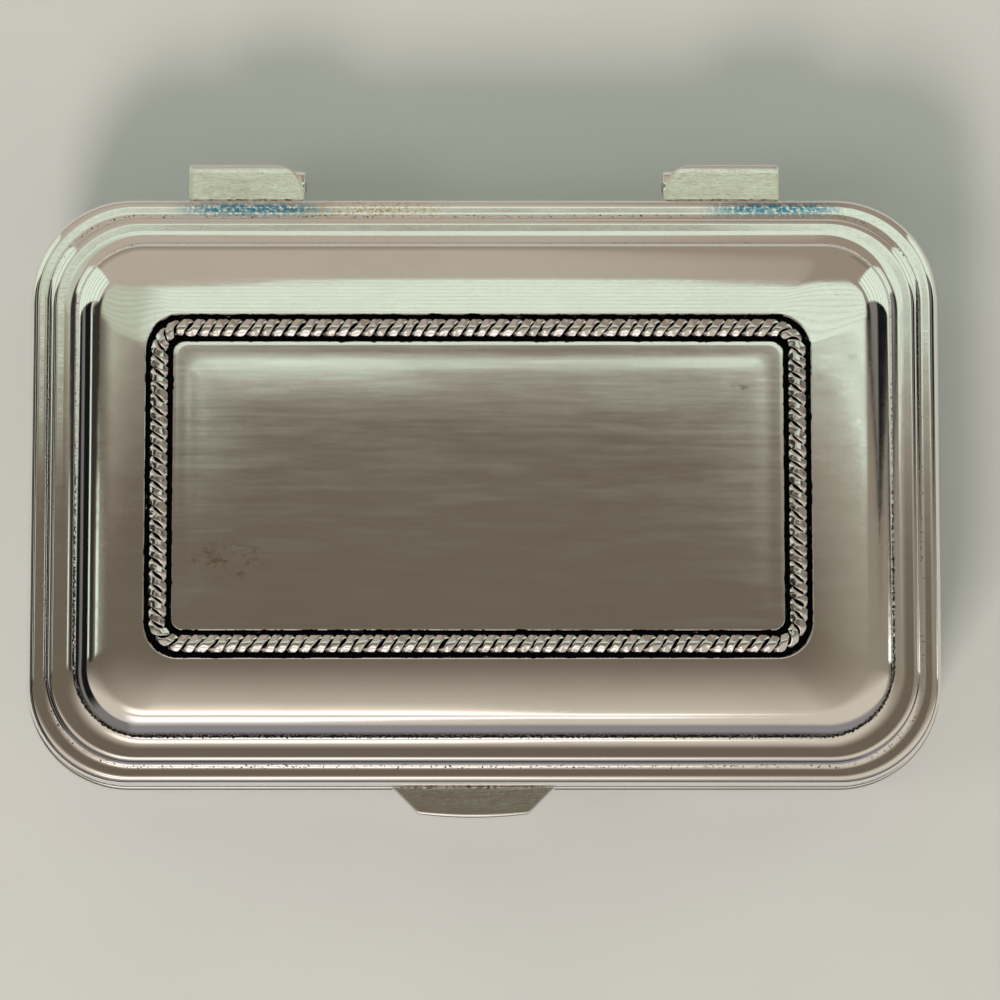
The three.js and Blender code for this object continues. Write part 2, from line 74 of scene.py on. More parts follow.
# A Ramp is a climb's two limits and its values there. A Spot is an ellipse's centre and its reach in plan.
# A Patch is a pair of limits one way and a pair the other way.
Point = tuple[float, float]
Place = tuple[float, float, float]
Colour = tuple[float, float, float]
Ramp = tuple[float, float, float, float]
Spot = tuple[Point, Point]
Patch = tuple[Point, Point]


class Body(Enum):
    """The two bodies that the pieces ride on."""

    TRAY = "base"
    LID = "lid"


class Slot(Enum):
    """The record's material slots."""

    PLATE = "silver_plate"
    OXIDISED = "oxidised_silver"
    PIN = "pin_steel"
    VELVET = "velvet"


class Side(Enum):
    """The two hinges, with the sign of their X."""

    LEFT = -1
    RIGHT = 1

    @property
    def word(self) -> str:
        """The side's name in lower case."""
        return self.name.lower()


@dataclass(frozen=True)
class NodeBox:
    """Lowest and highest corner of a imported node."""

    low: Place
    high: Place

    @classmethod
    def of(cls, node: str) -> NodeBox:
        """Reads a node's box from the frame."""
        return cls(*(tuple(value / METRES for value in corner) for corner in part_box(node)))

    @property
    def size(self) -> Place:
        """Its size along each axis."""
        return tuple(high - low for low, high in zip(self.low, self.high))

    @property
    def middle_x(self) -> float:
        """X of its centre."""
        return (self.low[0] + self.high[0]) / 2


class Profile:
    """A side profile of lines and arcs, fine enough for mirror-bright metal."""

    SUPPORT = 0.03
    ARC_STEP = 4.0

    def __init__(self, start: Point) -> None:
        """Starts the profile at a point."""
        self.points: list[Point] = [start]

    def line(self, end: Point) -> Profile:
        """Draws a straight line, with a support point close to each end.

        Args:
            end: Where the line ends.

        Returns:
            The profile itself.
        """
        start = np.array(self.points[-1])
        reach = np.array(end) - start
        length = float(np.linalg.norm(reach))
        if length < self.SUPPORT / 10:
            return self
        shares = [1.0]
        if length > 4 * self.SUPPORT:
            near = self.SUPPORT / length
            shares = [near, 0.5, 1 - near, 1.0]
        for share in shares:
            point = start + share * reach
            self.points.append((float(point[0]), float(point[1])))
        return self

    def arc(self, centre: Point, radius: float, start: float, end: float, step: float = ARC_STEP) -> Profile:
        """Draws an arc, and a line to its start where that is apart.

        Args:
            centre: The arc's centre.
            radius: The arc's radius.
            start: Angle at which it starts.
            end: Angle at which it ends.
            step: Widest angle between two points.

        Returns:
            The profile itself.
        """
        count = max(3, math.ceil(abs(end - start) / step))
        angles = np.radians(np.linspace(start, end, count + 1))
        xs = centre[0] + radius * np.cos(angles)
        ys = centre[1] + radius * np.sin(angles)
        self.line((float(xs[0]), float(ys[0])))
        self.points.extend((float(x), float(y)) for x, y in zip(xs[1:], ys[1:]))
        return self


def down_normal(point: Point, slope: float, distance: float) -> Point:
    """A point moved down the normal of a slope, such as from a hollow arc's centre to the arc."""
    angle = math.radians(slope)
    return (point[0] + distance * math.sin(angle), point[1] - distance * math.cos(angle))


def ease_between(low: float, high: float, value: np.ndarray | float) -> np.ndarray:
    """A smooth climb from 0 at low to 1 at high."""
    share = np.clip((np.asarray(value, float) - low) / (high - low), 0, 1)
    return share * share * (3 - 2 * share)


def bell(centre: float, width: float, value: np.ndarray | float) -> np.ndarray:
    """A smooth bump of height 1 round a centre."""
    return np.exp(-(((np.asarray(value, float) - centre) / width) ** 2))


def rounded_ring(
    half_width: float,
    half_depth: float,
    radius: float,
    centre_x: float,
    z: float,
    corner_steps: int = 18,
    side_steps: int = 14,
) -> np.ndarray:
    """One ring of a rounded rectangle, counter-clockwise seen from above.

    Args:
        half_width: Half its size along X.
        half_depth: Half its size along Y.
        radius: Corner radius.
        centre_x: X of its middle.
        z: Height.
        corner_steps: Steps in each corner.
        side_steps: Steps in each straight side, closer together towards the corners.

    Returns:
        The ring's points, one a row.
    """
    corners = []
    for quarter, (side_x, side_y) in enumerate([(1, 1), (-1, 1), (-1, -1), (1, -1)]):
        angles = math.pi / 2 * (quarter + np.linspace(0, 1, corner_steps + 1))
        xs = centre_x + side_x * (half_width - radius) + radius * np.cos(angles)
        ys = side_y * (half_depth - radius) + radius * np.sin(angles)
        corners.append(np.column_stack([xs, ys]))
    shares = 0.5 - 0.5 * np.cos(np.pi * np.arange(1, side_steps) / side_steps)
    runs = []
    for quarter, corner in enumerate(corners):
        start, end = corner[-1], corners[(quarter + 1) % 4][0]
        runs += [corner, start + shares[:, None] * (end - start)]
    flat = np.vstack(runs)
    return np.column_stack([flat, np.full(len(flat), z)])


class Sketch:
    """Points, faces and point values of one piece, before it becomes a mesh."""

    SAME_POINT = 1e-4

    def __init__(self) -> None:
        """Starts empty."""
        self.points: list[np.ndarray] = []
        self.faces: list[tuple[int, ...]] = []
        self.values: dict[str, list[np.ndarray]] = {}
        self.count = 0

    def add(self, points: np.ndarray, values: Optional[dict[str, np.ndarray]] = None) -> int:
        """Adds points.

        Args:
            points: One point a row.
            values: Named values, one for each point.

        Returns:
            The index of the first of them.
        """
        first = self.count
        self.points.append(points)
        self.count += len(points)
        for name, column in (values or {}).items():
            self.values.setdefault(name, []).append(np.asarray(column, float))
        return first

    def loft(
        self, rings: Sequence[np.ndarray], closed: bool, values: Optional[dict[str, np.ndarray]] = None
    ) -> Sketch:
        """Joins rings of equal length with faces, and caps the two ends unless they close on themselves.

        Args:
            rings: The rings in order.
            closed: Whether the last ring joins the first.
            values: Named values, one row of values for each ring.

        Returns:
            The sketch itself.
        """
        size = len(rings[0])
        flat = {name: np.asarray(rows).ravel() for name, rows in (values or {}).items()}
        first = self.add(np.vstack(rings), flat)
        bands = len(rings) if closed else len(rings) - 1
        for band in range(bands):
            low = first + band * size
            high = first + (band + 1) % len(rings) * size
            for index in range(size):
                after = (index + 1) % size
                self.faces.append((low + index, low + after, high + after, high + index))
        if not closed:
            last = first + (len(rings) - 1) * size
            self.faces.append(tuple(first + size - 1 - index for index in range(size)))
            self.faces.append(tuple(last + index for index in range(size)))
        return self

    def make(self, name: str, sharp: Optional[float] = None) -> Object:
        """Turns the sketch into an object with smooth faces that point outwards.

        Args:
            name: The object's name.
            sharp: Angle from which edges are kept sharp, if any.

        Returns:
            The new object, linked to the scene.
        """
        mesh = bpy.data.meshes.new(name)
        mesh.from_pydata((np.vstack(self.points) * METRES).tolist(), [], self.faces)
        for value, columns in self.values.items():
            layer = mesh.attributes.new(value, "FLOAT", "POINT")
            layer.data.foreach_set("value", np.concatenate(columns).astype(np.float32))
        tidy = bmesh.new()
        tidy.from_mesh(mesh)
        bmesh.ops.remove_doubles(tidy, verts=tidy.verts, dist=self.SAME_POINT * METRES)
        bmesh.ops.recalc_face_normals(tidy, faces=tidy.faces)
        tidy.to_mesh(mesh)
        tidy.free()
        mesh.shade_smooth()
        if sharp is not None:
            mesh.set_sharp_from_angle(angle=math.radians(sharp))
        piece = bpy.data.objects.new(name, mesh)
        bpy.context.scene.collection.objects.link(piece)
        return piece


def combine(target: Object, other: Object, operation: str, sharp: float) -> None:
    """Joins another object to a target or cuts it out, and removes the other.

    Args:
        target: The object that is kept.
        other: The object that is joined or cut out.
        operation: UNION or DIFFERENCE.
        sharp: Angle from which edges are kept sharp.
    """
    modifier = target.modifiers.new("combine", "BOOLEAN")
    modifier.operation = operation
    modifier.solver = "EXACT"
    modifier.object = other
    graph = bpy.context.evaluated_depsgraph_get()
    mesh = bpy.data.meshes.new_from_object(target.evaluated_get(graph))
    target.modifiers.clear()
    target.data = mesh
    mesh.shade_smooth()
    mesh.set_sharp_from_angle(angle=math.radians(sharp))
    bpy.data.objects.remove(other)


def settle(piece: Object, body: Body, slot: Slot, material: Material, *nodes: str) -> None:
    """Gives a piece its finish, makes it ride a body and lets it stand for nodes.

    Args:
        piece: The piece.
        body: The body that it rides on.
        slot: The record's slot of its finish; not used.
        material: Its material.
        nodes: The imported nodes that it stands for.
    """
    piece.data.materials.clear()
    piece.data.materials.append(material)
    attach(piece, body.value)
    if nodes:
        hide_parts(*nodes)
    LOG.info("%s rides on %s and stands for %s", piece.name, body.value, ", ".join(nodes) or "nothing")


@dataclass(frozen=True)
class Grain:
    """How a noise texture looks: its fineness, detail and roughness, and how it is drawn out and turned."""

    scale: float
    detail: float = 2.0
    rough: float = 0.5
    stretch: Optional[Place] = None
    turn: float = 0.0


class Nodes:
    """Short ways to add and join shader nodes in one tree."""

    def __init__(self, tree: NodeTree) -> None:
        """Takes a node tree and empties it."""
        self.tree = tree
        tree.nodes.clear()

    def new(self, kind: str, **settings: object) -> Node:
        """Adds a node and sets its properties."""
        node = self.tree.nodes.new("ShaderNode" + kind)
        for name, value in settings.items():
            setattr(node, name, value)
        return node

    def feed(self, socket: NodeSocket, value: object) -> None:
        """Links an output to a socket, or sets the socket to a plain value."""
        if isinstance(value, NodeSocket):
            self.tree.links.new(value, socket)
        elif isinstance(value, tuple) and socket.type == "RGBA":
            socket.default_value = (*value, 1.0)
        else:
            socket.default_value = value

    def fill(self, node: Node, **inputs: object) -> Node:
        """Feeds a node's inputs by their names, and gives the node back."""
        for name, value in inputs.items():
            self.feed(node.inputs[name.replace("_", " ")], value)
        return node

    def math(self, operation: str, first: object, second: object = 0.0, clamp: bool = False) -> NodeSocket:
        """A math node's result."""
        node = self.new("Math", operation=operation, use_clamp=clamp)
        self.feed(node.inputs[0], first)
        self.feed(node.inputs[1], second)
        return node.outputs[0]

    def times(self, first: object, *others: object) -> NodeSocket:
        """A product of two or more values."""
        for other in others:
            first = self.math("MULTIPLY", first, other)
        return first

    def plus(self, first: object, *others: object) -> NodeSocket:
        """A sum of two or more values."""
        for other in others:
            first = self.math("ADD", first, other)
        return first

    def less(self, first: object, second: object) -> NodeSocket:
        """A difference of two values."""
        return self.math("SUBTRACT", first, second)

    def climb(
        self, value: object, low: object, high: object, start: float = 0.0, end: float = 1.0
    ) -> NodeSocket:
        """A smooth climb from start at low to end at high."""
        node = self.new("MapRange", interpolation_type="SMOOTHSTEP")
        for socket, given in zip(node.inputs, (value, low, high, start, end)):
            self.feed(socket, given)
        return node.outputs[0]

    def mix(self, share: object, first: object, second: object) -> NodeSocket:
        """A blend of two colours."""
        node = self.new("Mix", data_type="RGBA")
        self.feed(node.inputs[0], share)
        self.feed(node.inputs[6], first)
        self.feed(node.inputs[7], second)
        return node.outputs[2]

    def parts(self, vector: NodeSocket) -> tuple[NodeSocket, NodeSocket, NodeSocket]:
        """A vector's X, Y and Z."""
        node = self.new("SeparateXYZ")
        self.feed(node.inputs[0], vector)
        return tuple(node.outputs)

    def stretch(self, vector: object, scale: Place, turn: float = 0.0) -> NodeSocket:
        """A vector turned about Z, then scaled along each axis."""
        node = self.new("Mapping", vector_type="TEXTURE")
        finer = tuple(1 / part for part in scale)
        return self.fill(node, Vector=vector, Rotation=(0, 0, math.radians(turn)), Scale=finer).outputs[0]

    def grain(self, vector: object, grain: Grain) -> NodeSocket:
        """A noise texture's value, from 0 to 1 about a half."""
        if grain.stretch is not None:
            vector = self.stretch(vector, grain.stretch, grain.turn)
        settings = {"Scale": grain.scale, "Detail": grain.detail, "Roughness": grain.rough}
        return self.fill(self.new("TexNoise"), Vector=vector, **settings).outputs["Fac"]

    def near(self, place: NodeSocket, centre: Point, reach: Point) -> NodeSocket:
        """1 at a place in plan, down to 0 on an ellipse round it."""
        square: object = 0.0
        for value, middle, half in zip(self.parts(place), centre, reach):
            away = self.math("DIVIDE", self.less(value, middle), half)
            square = self.plus(square, self.times(away, away))
        return self.climb(square, 0.0, 1.0, 1.0, 0.0)

    def near_any(self, place: NodeSocket, spots: Sequence[Spot]) -> NodeSocket:
        """1 in the middle of any of several spots, down to 0 at their edges."""
        whole: object = 0.0
        for spot in spots:
            whole = self.math("MAXIMUM", whole, self.near(place, *spot))
        return whole

    def value(self, name: str) -> NodeSocket:
        """A point value that the mesh carries."""
        return self.new("Attribute", attribute_name=name).outputs["Fac"]

    def place(self) -> NodeSocket:
        """The place on the piece, in millimetres."""
        node = self.new("VectorMath", operation="SCALE")
        return self.fill(node, Vector=self.new("TexCoord").outputs["Object"], Scale=1 / METRES).outputs[0]

    def use(self, group: NodeTree, **inputs: object) -> Node:
        """Places a node group with its own values."""
        return self.fill(self.new("Group", node_tree=group), **inputs)

    def bump(self, height: object, strength: float = 1.0, normal: Optional[NodeSocket] = None) -> NodeSocket:
        """A bump of a height in millimetres, over another normal if one is given."""
        node = self.fill(self.new("Bump"), Strength=strength, Distance=METRES, Height=height)
        if normal is not None:
            self.fill(node, Normal=normal)
        return node.outputs[0]


class Effect:
    """A shader node group that several finishes share."""

    def __init__(self, name: str, inputs: dict[str, str], outputs: dict[str, str]) -> None:
        """Makes an empty group.

        Args:
            name: The group's name.
            inputs: Socket kinds by name.
            outputs: Socket kinds by name.
        """
        self.tree = bpy.data.node_groups.new(name, "ShaderNodeTree")
        for in_out, sockets in (("INPUT", inputs), ("OUTPUT", outputs)):
            for socket, kind in sockets.items():
                self.tree.interface.new_socket(socket, in_out=in_out, socket_type="NodeSocket" + kind)
        self.nodes = Nodes(self.tree)
        self.given = self.tree.nodes.new("NodeGroupInput").outputs
        self.result = self.tree.nodes.new("NodeGroupOutput").inputs


@dataclass
class Effects:
    """The shared effects, each built once."""

    scratch_length: Place = (0.05, 1.0, 1.0)
    scratch_sets: tuple[Place, ...] = ((3.0, 9.0, 1.0), (-7.0, 14.0, 0.7), (64.0, 7.0, 0.35))
    scratch_width: float = 0.02
    haze: Grain = Grain(0.9, 4.0, 0.62, (0.12, 1.0, 1.0))
    haze_edge: Point = (0.35, 0.7)
    wide_ripple: Grain = Grain(0.16, 1.0)
    fine_ripple: Grain = Grain(0.9)
    fine_share: float = 0.08
    cloud: Grain = Grain(0.13, 5.0, 0.6, (0.5, 1.0, 1.0))
    cloud_edge: Point = (0.45, 0.75)
    spots: Grain = Grain(1.1, 5.0, 0.68, (0.6, 1.0, 1.0))
    spot_edge: Point = (0.48, 0.66)
    specks: Grain = Grain(3.6, 5.0, 0.7)
    speck_edge: float = 0.74
    speck_growth: float = 0.2
    speck_soft: float = 0.05
    speck_start: float = 0.25
    lean: Grain = Grain(0.22, 3.0, stretch=(0.5, 1.0, 1.0), turn=20.0)
    lean_edge: Point = (0.3, 0.7)
    pile: Grain = Grain(9.0, 3.0, 0.7)

    def __post_init__(self) -> None:
        """Builds every group."""
        self.scratches = self.build_scratches()
        self.ripple = self.build_ripple()
        self.tarnish = self.build_tarnish()
        self.pits = self.build_pits()
        self.nap = self.build_nap()

    def build_scratches(self) -> NodeTree:
        """Fine polishing scratches, most of them along the box. Each set has a turn, a scale and a share."""
        effect = Effect("polishing_scratches", {"Place": "Vector"}, {"Height": "Float", "Haze": "Float"})
        nodes = effect.nodes
        place = effect.given["Place"]
        total: object = 0.0
        for turn, scale, share in self.scratch_sets:
            lines = nodes.grain(place, Grain(scale, 3.0, 0.6, self.scratch_length, turn))
            line = nodes.math("ABSOLUTE", nodes.less(lines, 0.5))
            total = nodes.plus(total, nodes.climb(line, 0.0, self.scratch_width, share, 0.0))
        nodes.feed(effect.result["Height"], nodes.times(total, -1.0))
        nodes.feed(effect.result["Haze"], nodes.climb(nodes.grain(place, self.haze), *self.haze_edge))
        return effect.tree

    def build_ripple(self) -> NodeTree:
        """The slight unevenness that pressing and buffing leave in sheet metal."""
        effect = Effect("buffed_ripple", {"Place": "Vector"}, {"Height": "Float"})
        nodes = effect.nodes
        wide = nodes.grain(effect.given["Place"], self.wide_ripple)
        fine = nodes.times(nodes.grain(effect.given["Place"], self.fine_ripple), self.fine_share)
        nodes.feed(effect.result["Height"], nodes.plus(wide, fine))
        return effect.tree

    def build_tarnish(self) -> NodeTree:
        """Brown tarnish: faint clouds and a few small spots."""
        effect = Effect("brown_tarnish", {"Place": "Vector"}, {"Cloud": "Float", "Spots": "Float"})
        nodes = effect.nodes
        place = effect.given["Place"]
        nodes.feed(effect.result["Cloud"], nodes.climb(nodes.grain(place, self.cloud), *self.cloud_edge))
        nodes.feed(effect.result["Spots"], nodes.climb(nodes.grain(place, self.spots), *self.spot_edge))
        return effect.tree

    def build_pits(self) -> NodeTree:
        """Dark pits, as many as an amount asks: where dirt and worn plate gather, and where the lid paints
        shade.
        """
        effect = Effect("dark_pits", {"Place": "Vector", "Amount": "Float"}, {"Mask": "Float"})
        nodes = effect.nodes
        amount = effect.given["Amount"]
        speck = nodes.grain(effect.given["Place"], self.specks)
        edge = nodes.less(self.speck_edge, nodes.times(amount, self.speck_growth))
        mask = nodes.climb(nodes.less(speck, edge), 0.0, self.speck_soft)
        shown = nodes.climb(amount, 0.0, self.speck_start)
        nodes.feed(effect.result["Mask"], nodes.times(mask, shown))
        return effect.tree

    def build_nap(self) -> NodeTree:
        """The brushed pile of velvet."""
        effect = Effect("velvet_nap", {"Place": "Vector"}, {"Lean": "Float", "Height": "Float"})
        nodes = effect.nodes
        place = effect.given["Place"]
        nodes.feed(effect.result["Lean"], nodes.climb(nodes.grain(place, self.lean), *self.lean_edge))
        nodes.feed(effect.result["Height"], nodes.grain(place, self.pile))
        return effect.tree


@dataclass(frozen=True)
class Finish:
    """What every finish has: a name, and the effects that it may use."""

    name: str
    effects: Effects

    def make(self) -> Material:
        """Makes the material."""
        material = bpy.data.materials.new(self.name)
        material.use_nodes = True
        nodes = Nodes(material.node_tree)
        shader = nodes.new("BsdfPrincipled")
        nodes.fill(nodes.new("OutputMaterial"), Surface=shader.outputs["BSDF"])
        nodes.fill(shader, **self.inputs(nodes))
        return material

    def inputs(self, nodes: Nodes) -> dict[str, object]:
        """What its shader is fed, by the names of the inputs."""
        raise NotImplementedError


@dataclass
class Surface:
    """What a plate's shader is fed: its colour, roughness and height."""

    colour: NodeSocket
    rough: NodeSocket
    height: NodeSocket


@dataclass(frozen=True)
class SilverPlate(Finish):
    """Polished silver plate with fine scratches and faint tarnish."""

    silver: Colour = (0.93, 0.905, 0.88)
    tarnished: Colour = (0.46, 0.32, 0.2)
    roughness: float = 0.03
    haze: float = 0.035
    ripple: float = 0.008
    scratch: float = 0.00012
    cloud_share: float = 0.1

    def inputs(self, nodes: Nodes) -> dict[str, object]:
        """What its shader is fed."""
        place = nodes.place()
        tarnish = nodes.use(self.effects.tarnish, Place=place)
        scratches = nodes.use(self.effects.scratches, Place=place)
        ripple = nodes.use(self.effects.ripple, Place=place)
        clouded = nodes.times(tarnish.outputs["Cloud"], self.cloud_share)
        surface = Surface(
            nodes.mix(clouded, self.silver, self.tarnished),
            nodes.plus(nodes.times(scratches.outputs["Haze"], self.haze), self.roughness),
            nodes.times(scratches.outputs["Height"], self.scratch),
        )
        self.wear_and_painted_light(nodes, tarnish.outputs["Spots"], surface)
        normal = nodes.bump(nodes.times(ripple.outputs["Height"], self.ripple))
        normal = nodes.bump(surface.height, normal=normal)
        return {
            "Metallic": 1.0,
            "Base Color": surface.colour,
            "Roughness": surface.rough,
            "Normal": normal,
        }

    def wear_and_painted_light(self, nodes: Nodes, spots: NodeSocket, surface: Surface) -> None:
        """Changes the surface where it is worn or where light or shade is painted: nowhere on plain plate."""


@dataclass(frozen=True)
class LidPlate(SilverPlate):
    """The lid's plate: a streaky panel, a black groove, dirt in the corners, painted shade along the lip and
    in the crease, and heat colours by the lugs.
    """

    # The dark of the real dirt on the ledges, also used as painted shade along the lip and in the crease.
    dirt_and_shade: Colour = (0.05, 0.04, 0.03)
    pits_rough: float = 0.3
    pits_depth: float = 0.02
    oxide: Colour = (0.006, 0.006, 0.006)
    oxide_rough: float = 0.45
    oxide_edge: Ramp = (-0.05, 0.05, 1.0, 0.0)
    edge_wander: Grain = Grain(0.8, 5.0, 0.6)
    ragged_edge: float = 0.8
    stains: tuple[Spot, ...] = (((-25.0, -7.4), (4.6, 2.2)), ((25.6, 10.1), (1.6, 0.9)))
    stain_share: float = 0.7
    heat_tint: Colour = (0.07, 0.28, 0.42)
    heat_places: tuple[Spot, ...] = (((-23.0, 28.0), (9.0, 8.0)), ((29.0, 28.0), (8.0, 8.0)))
    heat_share: float = 1.1
    heat_gaps: Ramp = (0.46, 0.62, 1.0, 0.0)
    gilt: Colour = (0.72, 0.46, 0.18)
    fleck_place: Spot = ((-11.5, 28.0), (9.0, 8.0))
    fleck_edge: Point = (0.5, 0.58)
    flecks: Grain = Grain(2.4, 4.0, 0.7)
    panel_haze: float = 0.03
    dents: Grain = Grain(0.22, 3.0, 0.55, (0.14, 1.0, 1.0))
    dent_depth: float = 0.008
    streaks: Grain = Grain(1.5, 2.0, 0.5, (0.05, 1.0, 1.0))
    streak_depth: float = 0.0011
    slope: Point = (8.4, 14.2)
    slope_parts: tuple[Place, ...] = ((-33.0, -23.0, 0.02), (-14.0, 1.0, -0.02))

    def wear_and_painted_light(self, nodes: Nodes, spots: NodeSocket, surface: Surface) -> None:
        """Adds wear, and painted shade along the lip and in the crease, where the mesh's point values put it.

        Args:
            nodes: The material's nodes.
            spots: The tarnish effect's spots.
            surface: What the shader is fed.
        """
        place = nodes.place()
        panel = nodes.value("panel")
        stained = nodes.times(nodes.near_any(place, self.stains), panel, self.stain_share, spots)
        surface.colour = nodes.mix(stained, surface.colour, self.tarnished)
        self.heat(nodes, place, surface)
        # The dark specks are real dirt on the ledges, and painted shade along the lip and in the crease under
        # the dome.
        pits = nodes.use(self.effects.pits, Place=place, Amount=nodes.value("dirt_and_shade")).outputs["Mask"]
        surface.colour = nodes.mix(pits, surface.colour, self.dirt_and_shade)
        wander = nodes.times(nodes.less(nodes.grain(place, self.edge_wander), 0.5), self.ragged_edge)
        black = nodes.climb(nodes.plus(nodes.value("groove"), wander), *self.oxide_edge)
        surface.colour = nodes.mix(black, surface.colour, self.oxide)
        for mask, share in ((panel, self.panel_haze), (pits, self.pits_rough), (black, self.oxide_rough)):
            surface.rough = nodes.plus(surface.rough, nodes.times(mask, share))
        surface.height = nodes.plus(surface.height, nodes.times(self.unevenness(nodes, place), panel))
        surface.height = nodes.less(surface.height, nodes.times(pits, self.pits_depth))

    def heat(self, nodes: Nodes, place: NodeSocket, surface: Surface) -> None:
        """Colours the first ledge by the lugs, and flecks it with gilt.

        Args:
            nodes: The material's nodes.
            place: The place on the piece.
            surface: What the shader is fed.
        """
        ledge = nodes.value("ledge")
        fleck = nodes.grain(place, self.flecks)
        heated = nodes.times(nodes.near_any(place, self.heat_places), ledge)
        heated = nodes.math("MULTIPLY", heated, self.heat_share, clamp=True)
        heated = nodes.times(heated, nodes.climb(fleck, *self.heat_gaps))
        surface.colour = nodes.mix(heated, surface.colour, self.heat_tint)
        gilded = nodes.times(nodes.near(place, *self.fleck_place), ledge)
        gilded = nodes.times(gilded, nodes.climb(fleck, *self.fleck_edge))
        surface.colour = nodes.mix(gilded, surface.colour, self.gilt)

    def unevenness(self, nodes: Nodes, place: NodeSocket) -> NodeSocket:
        """The panel's dents, its streaks and the slope at its back.

        Args:
            nodes: The material's nodes.
            place: The place on the piece.

        Returns:
            The height.
        """
        total = nodes.times(nodes.grain(place, self.dents), self.dent_depth)
        total = nodes.plus(total, nodes.times(nodes.grain(place, self.streaks), self.streak_depth))
        x, y, _ = nodes.parts(place)
        for low, high, rise in self.slope_parts:
            slope = nodes.climb(y, *self.slope, rise, 0.0)
            total = nodes.plus(total, nodes.times(nodes.climb(x, low, high), slope))
        return total


@dataclass(frozen=True)
class LugPlate(SilverPlate):
    """The lugs' satin plate, with a painted highlight along the top of the back edge."""

    silver: Colour = (0.86, 0.86, 0.755)
    roughness: float = 0.1
    haze: float = 0.12
    scratch: float = 0.002
    cloud_share: float = 0.28
    # A painted highlight along the back edge, which is also made smoother there.
    painted_highlight: Colour = (0.98, 0.98, 0.95)
    painted_highlight_from: Point = (32.1, 32.35)
    highlight_smooth: float = 0.7

    def wear_and_painted_light(self, nodes: Nodes, spots: NodeSocket, surface: Surface) -> None:
        """Paints a highlight on the back edge and makes it smoother.

        Args:
            nodes: The material's nodes.
            spots: The tarnish effect's spots, which the lugs don't show.
            surface: What the shader is fed.
        """
        _, y, _ = nodes.parts(nodes.place())
        # Painted highlight: the back edge's colour is lifted towards white.
        edge = nodes.climb(y, *self.painted_highlight_from)
        surface.colour = nodes.mix(edge, surface.colour, self.painted_highlight)
        surface.rough = nodes.times(surface.rough, nodes.less(1.0, nodes.times(edge, self.highlight_smooth)))


@dataclass(frozen=True)
class TabPlate(SilverPlate):
    """The tab's plate, a little duller and more scratched."""

    silver: Colour = (0.92, 0.93, 0.9)
    roughness: float = 0.06
    scratch: float = 0.0006


@dataclass(frozen=True)
class OxidisedSilver(Finish):
    """Bright silver strands with black oxide between them."""

    silver: Colour = (0.8, 0.77, 0.76)
    oxide: Colour = (0.006, 0.006, 0.006)
    roughness: float = 0.06
    oxide_rough: float = 0.4
    oxide_edge: Point = (0.4, 0.6)
    edge_wander: Grain = Grain(3.0, 4.0)
    ragged_edge: float = 0.7
    cloud: Grain = Grain(2.0, 3.0)
    haze: float = 0.05
    ripple: float = 0.012
    ripple_size: Place = (6.0, 6.0, 6.0)

    def inputs(self, nodes: Nodes) -> dict[str, object]:
        """What its shader is fed, from how deep a point lies between the strands."""
        place = nodes.place()
        wander = nodes.times(nodes.less(nodes.grain(place, self.edge_wander), 0.5), self.ragged_edge)
        black = nodes.climb(nodes.plus(nodes.value("valley"), wander), *self.oxide_edge)
        haze = nodes.plus(nodes.times(nodes.grain(place, self.cloud), self.haze), self.roughness)
        ripple = nodes.use(self.effects.ripple, Place=nodes.stretch(place, self.ripple_size))
        return {
            "Metallic": 1.0,
            "Base Color": nodes.mix(black, self.silver, self.oxide),
            "Roughness": nodes.plus(nodes.times(black, self.oxide_rough), haze),
            "Normal": nodes.bump(nodes.times(ripple.outputs["Height"], self.ripple)),
        }


@dataclass(frozen=True)
class Solder(Finish):
    """A grubby bead of solder."""

    bright: Colour = (0.78, 0.74, 0.66)
    grubby: Colour = (0.2, 0.13, 0.06)
    patches: Grain = Grain(1.6, 5.0, 0.7)
    patch_edge: Point = (0.42, 0.6)
    roughness: Point = (0.22, 0.55)
    lumps: Grain = Grain(5.0, 3.0)
    lumpiness: float = 0.05

    def inputs(self, nodes: Nodes) -> dict[str, object]:
        """What its shader is fed."""
        place = nodes.place()
        share = nodes.climb(nodes.grain(place, self.patches), *self.patch_edge)
        return {
            "Metallic": 1.0,
            "Base Color": nodes.mix(share, self.bright, self.grubby),
            "Roughness": nodes.climb(share, 0.0, 1.0, *self.roughness),
            "Normal": nodes.bump(nodes.grain(place, self.lumps), self.lumpiness),
        }


@dataclass(frozen=True)
class PinSteel(Finish):
    """Drawn wire with peened ends."""

    steel: Colour = (0.55, 0.54, 0.52)
    worn: Colour = (0.3, 0.28, 0.26)
    drawn: Grain = Grain(3.0, 3.0, stretch=(0.2, 6.0, 6.0))
    worn_edge: Point = (0.3, 0.8)
    roughness: Ramp = (0.2, 0.8, 0.25, 0.45)
    line_depth: float = 0.01

    def inputs(self, nodes: Nodes) -> dict[str, object]:
        """What its shader is fed."""
        drawn = nodes.grain(nodes.place(), self.drawn)
        worn = nodes.climb(drawn, *self.worn_edge)
        return {
            "Metallic": 1.0,
            "Base Color": nodes.mix(worn, self.steel, self.worn),
            "Roughness": nodes.climb(drawn, *self.roughness),
            "Normal": nodes.bump(nodes.times(drawn, self.line_depth)),
        }


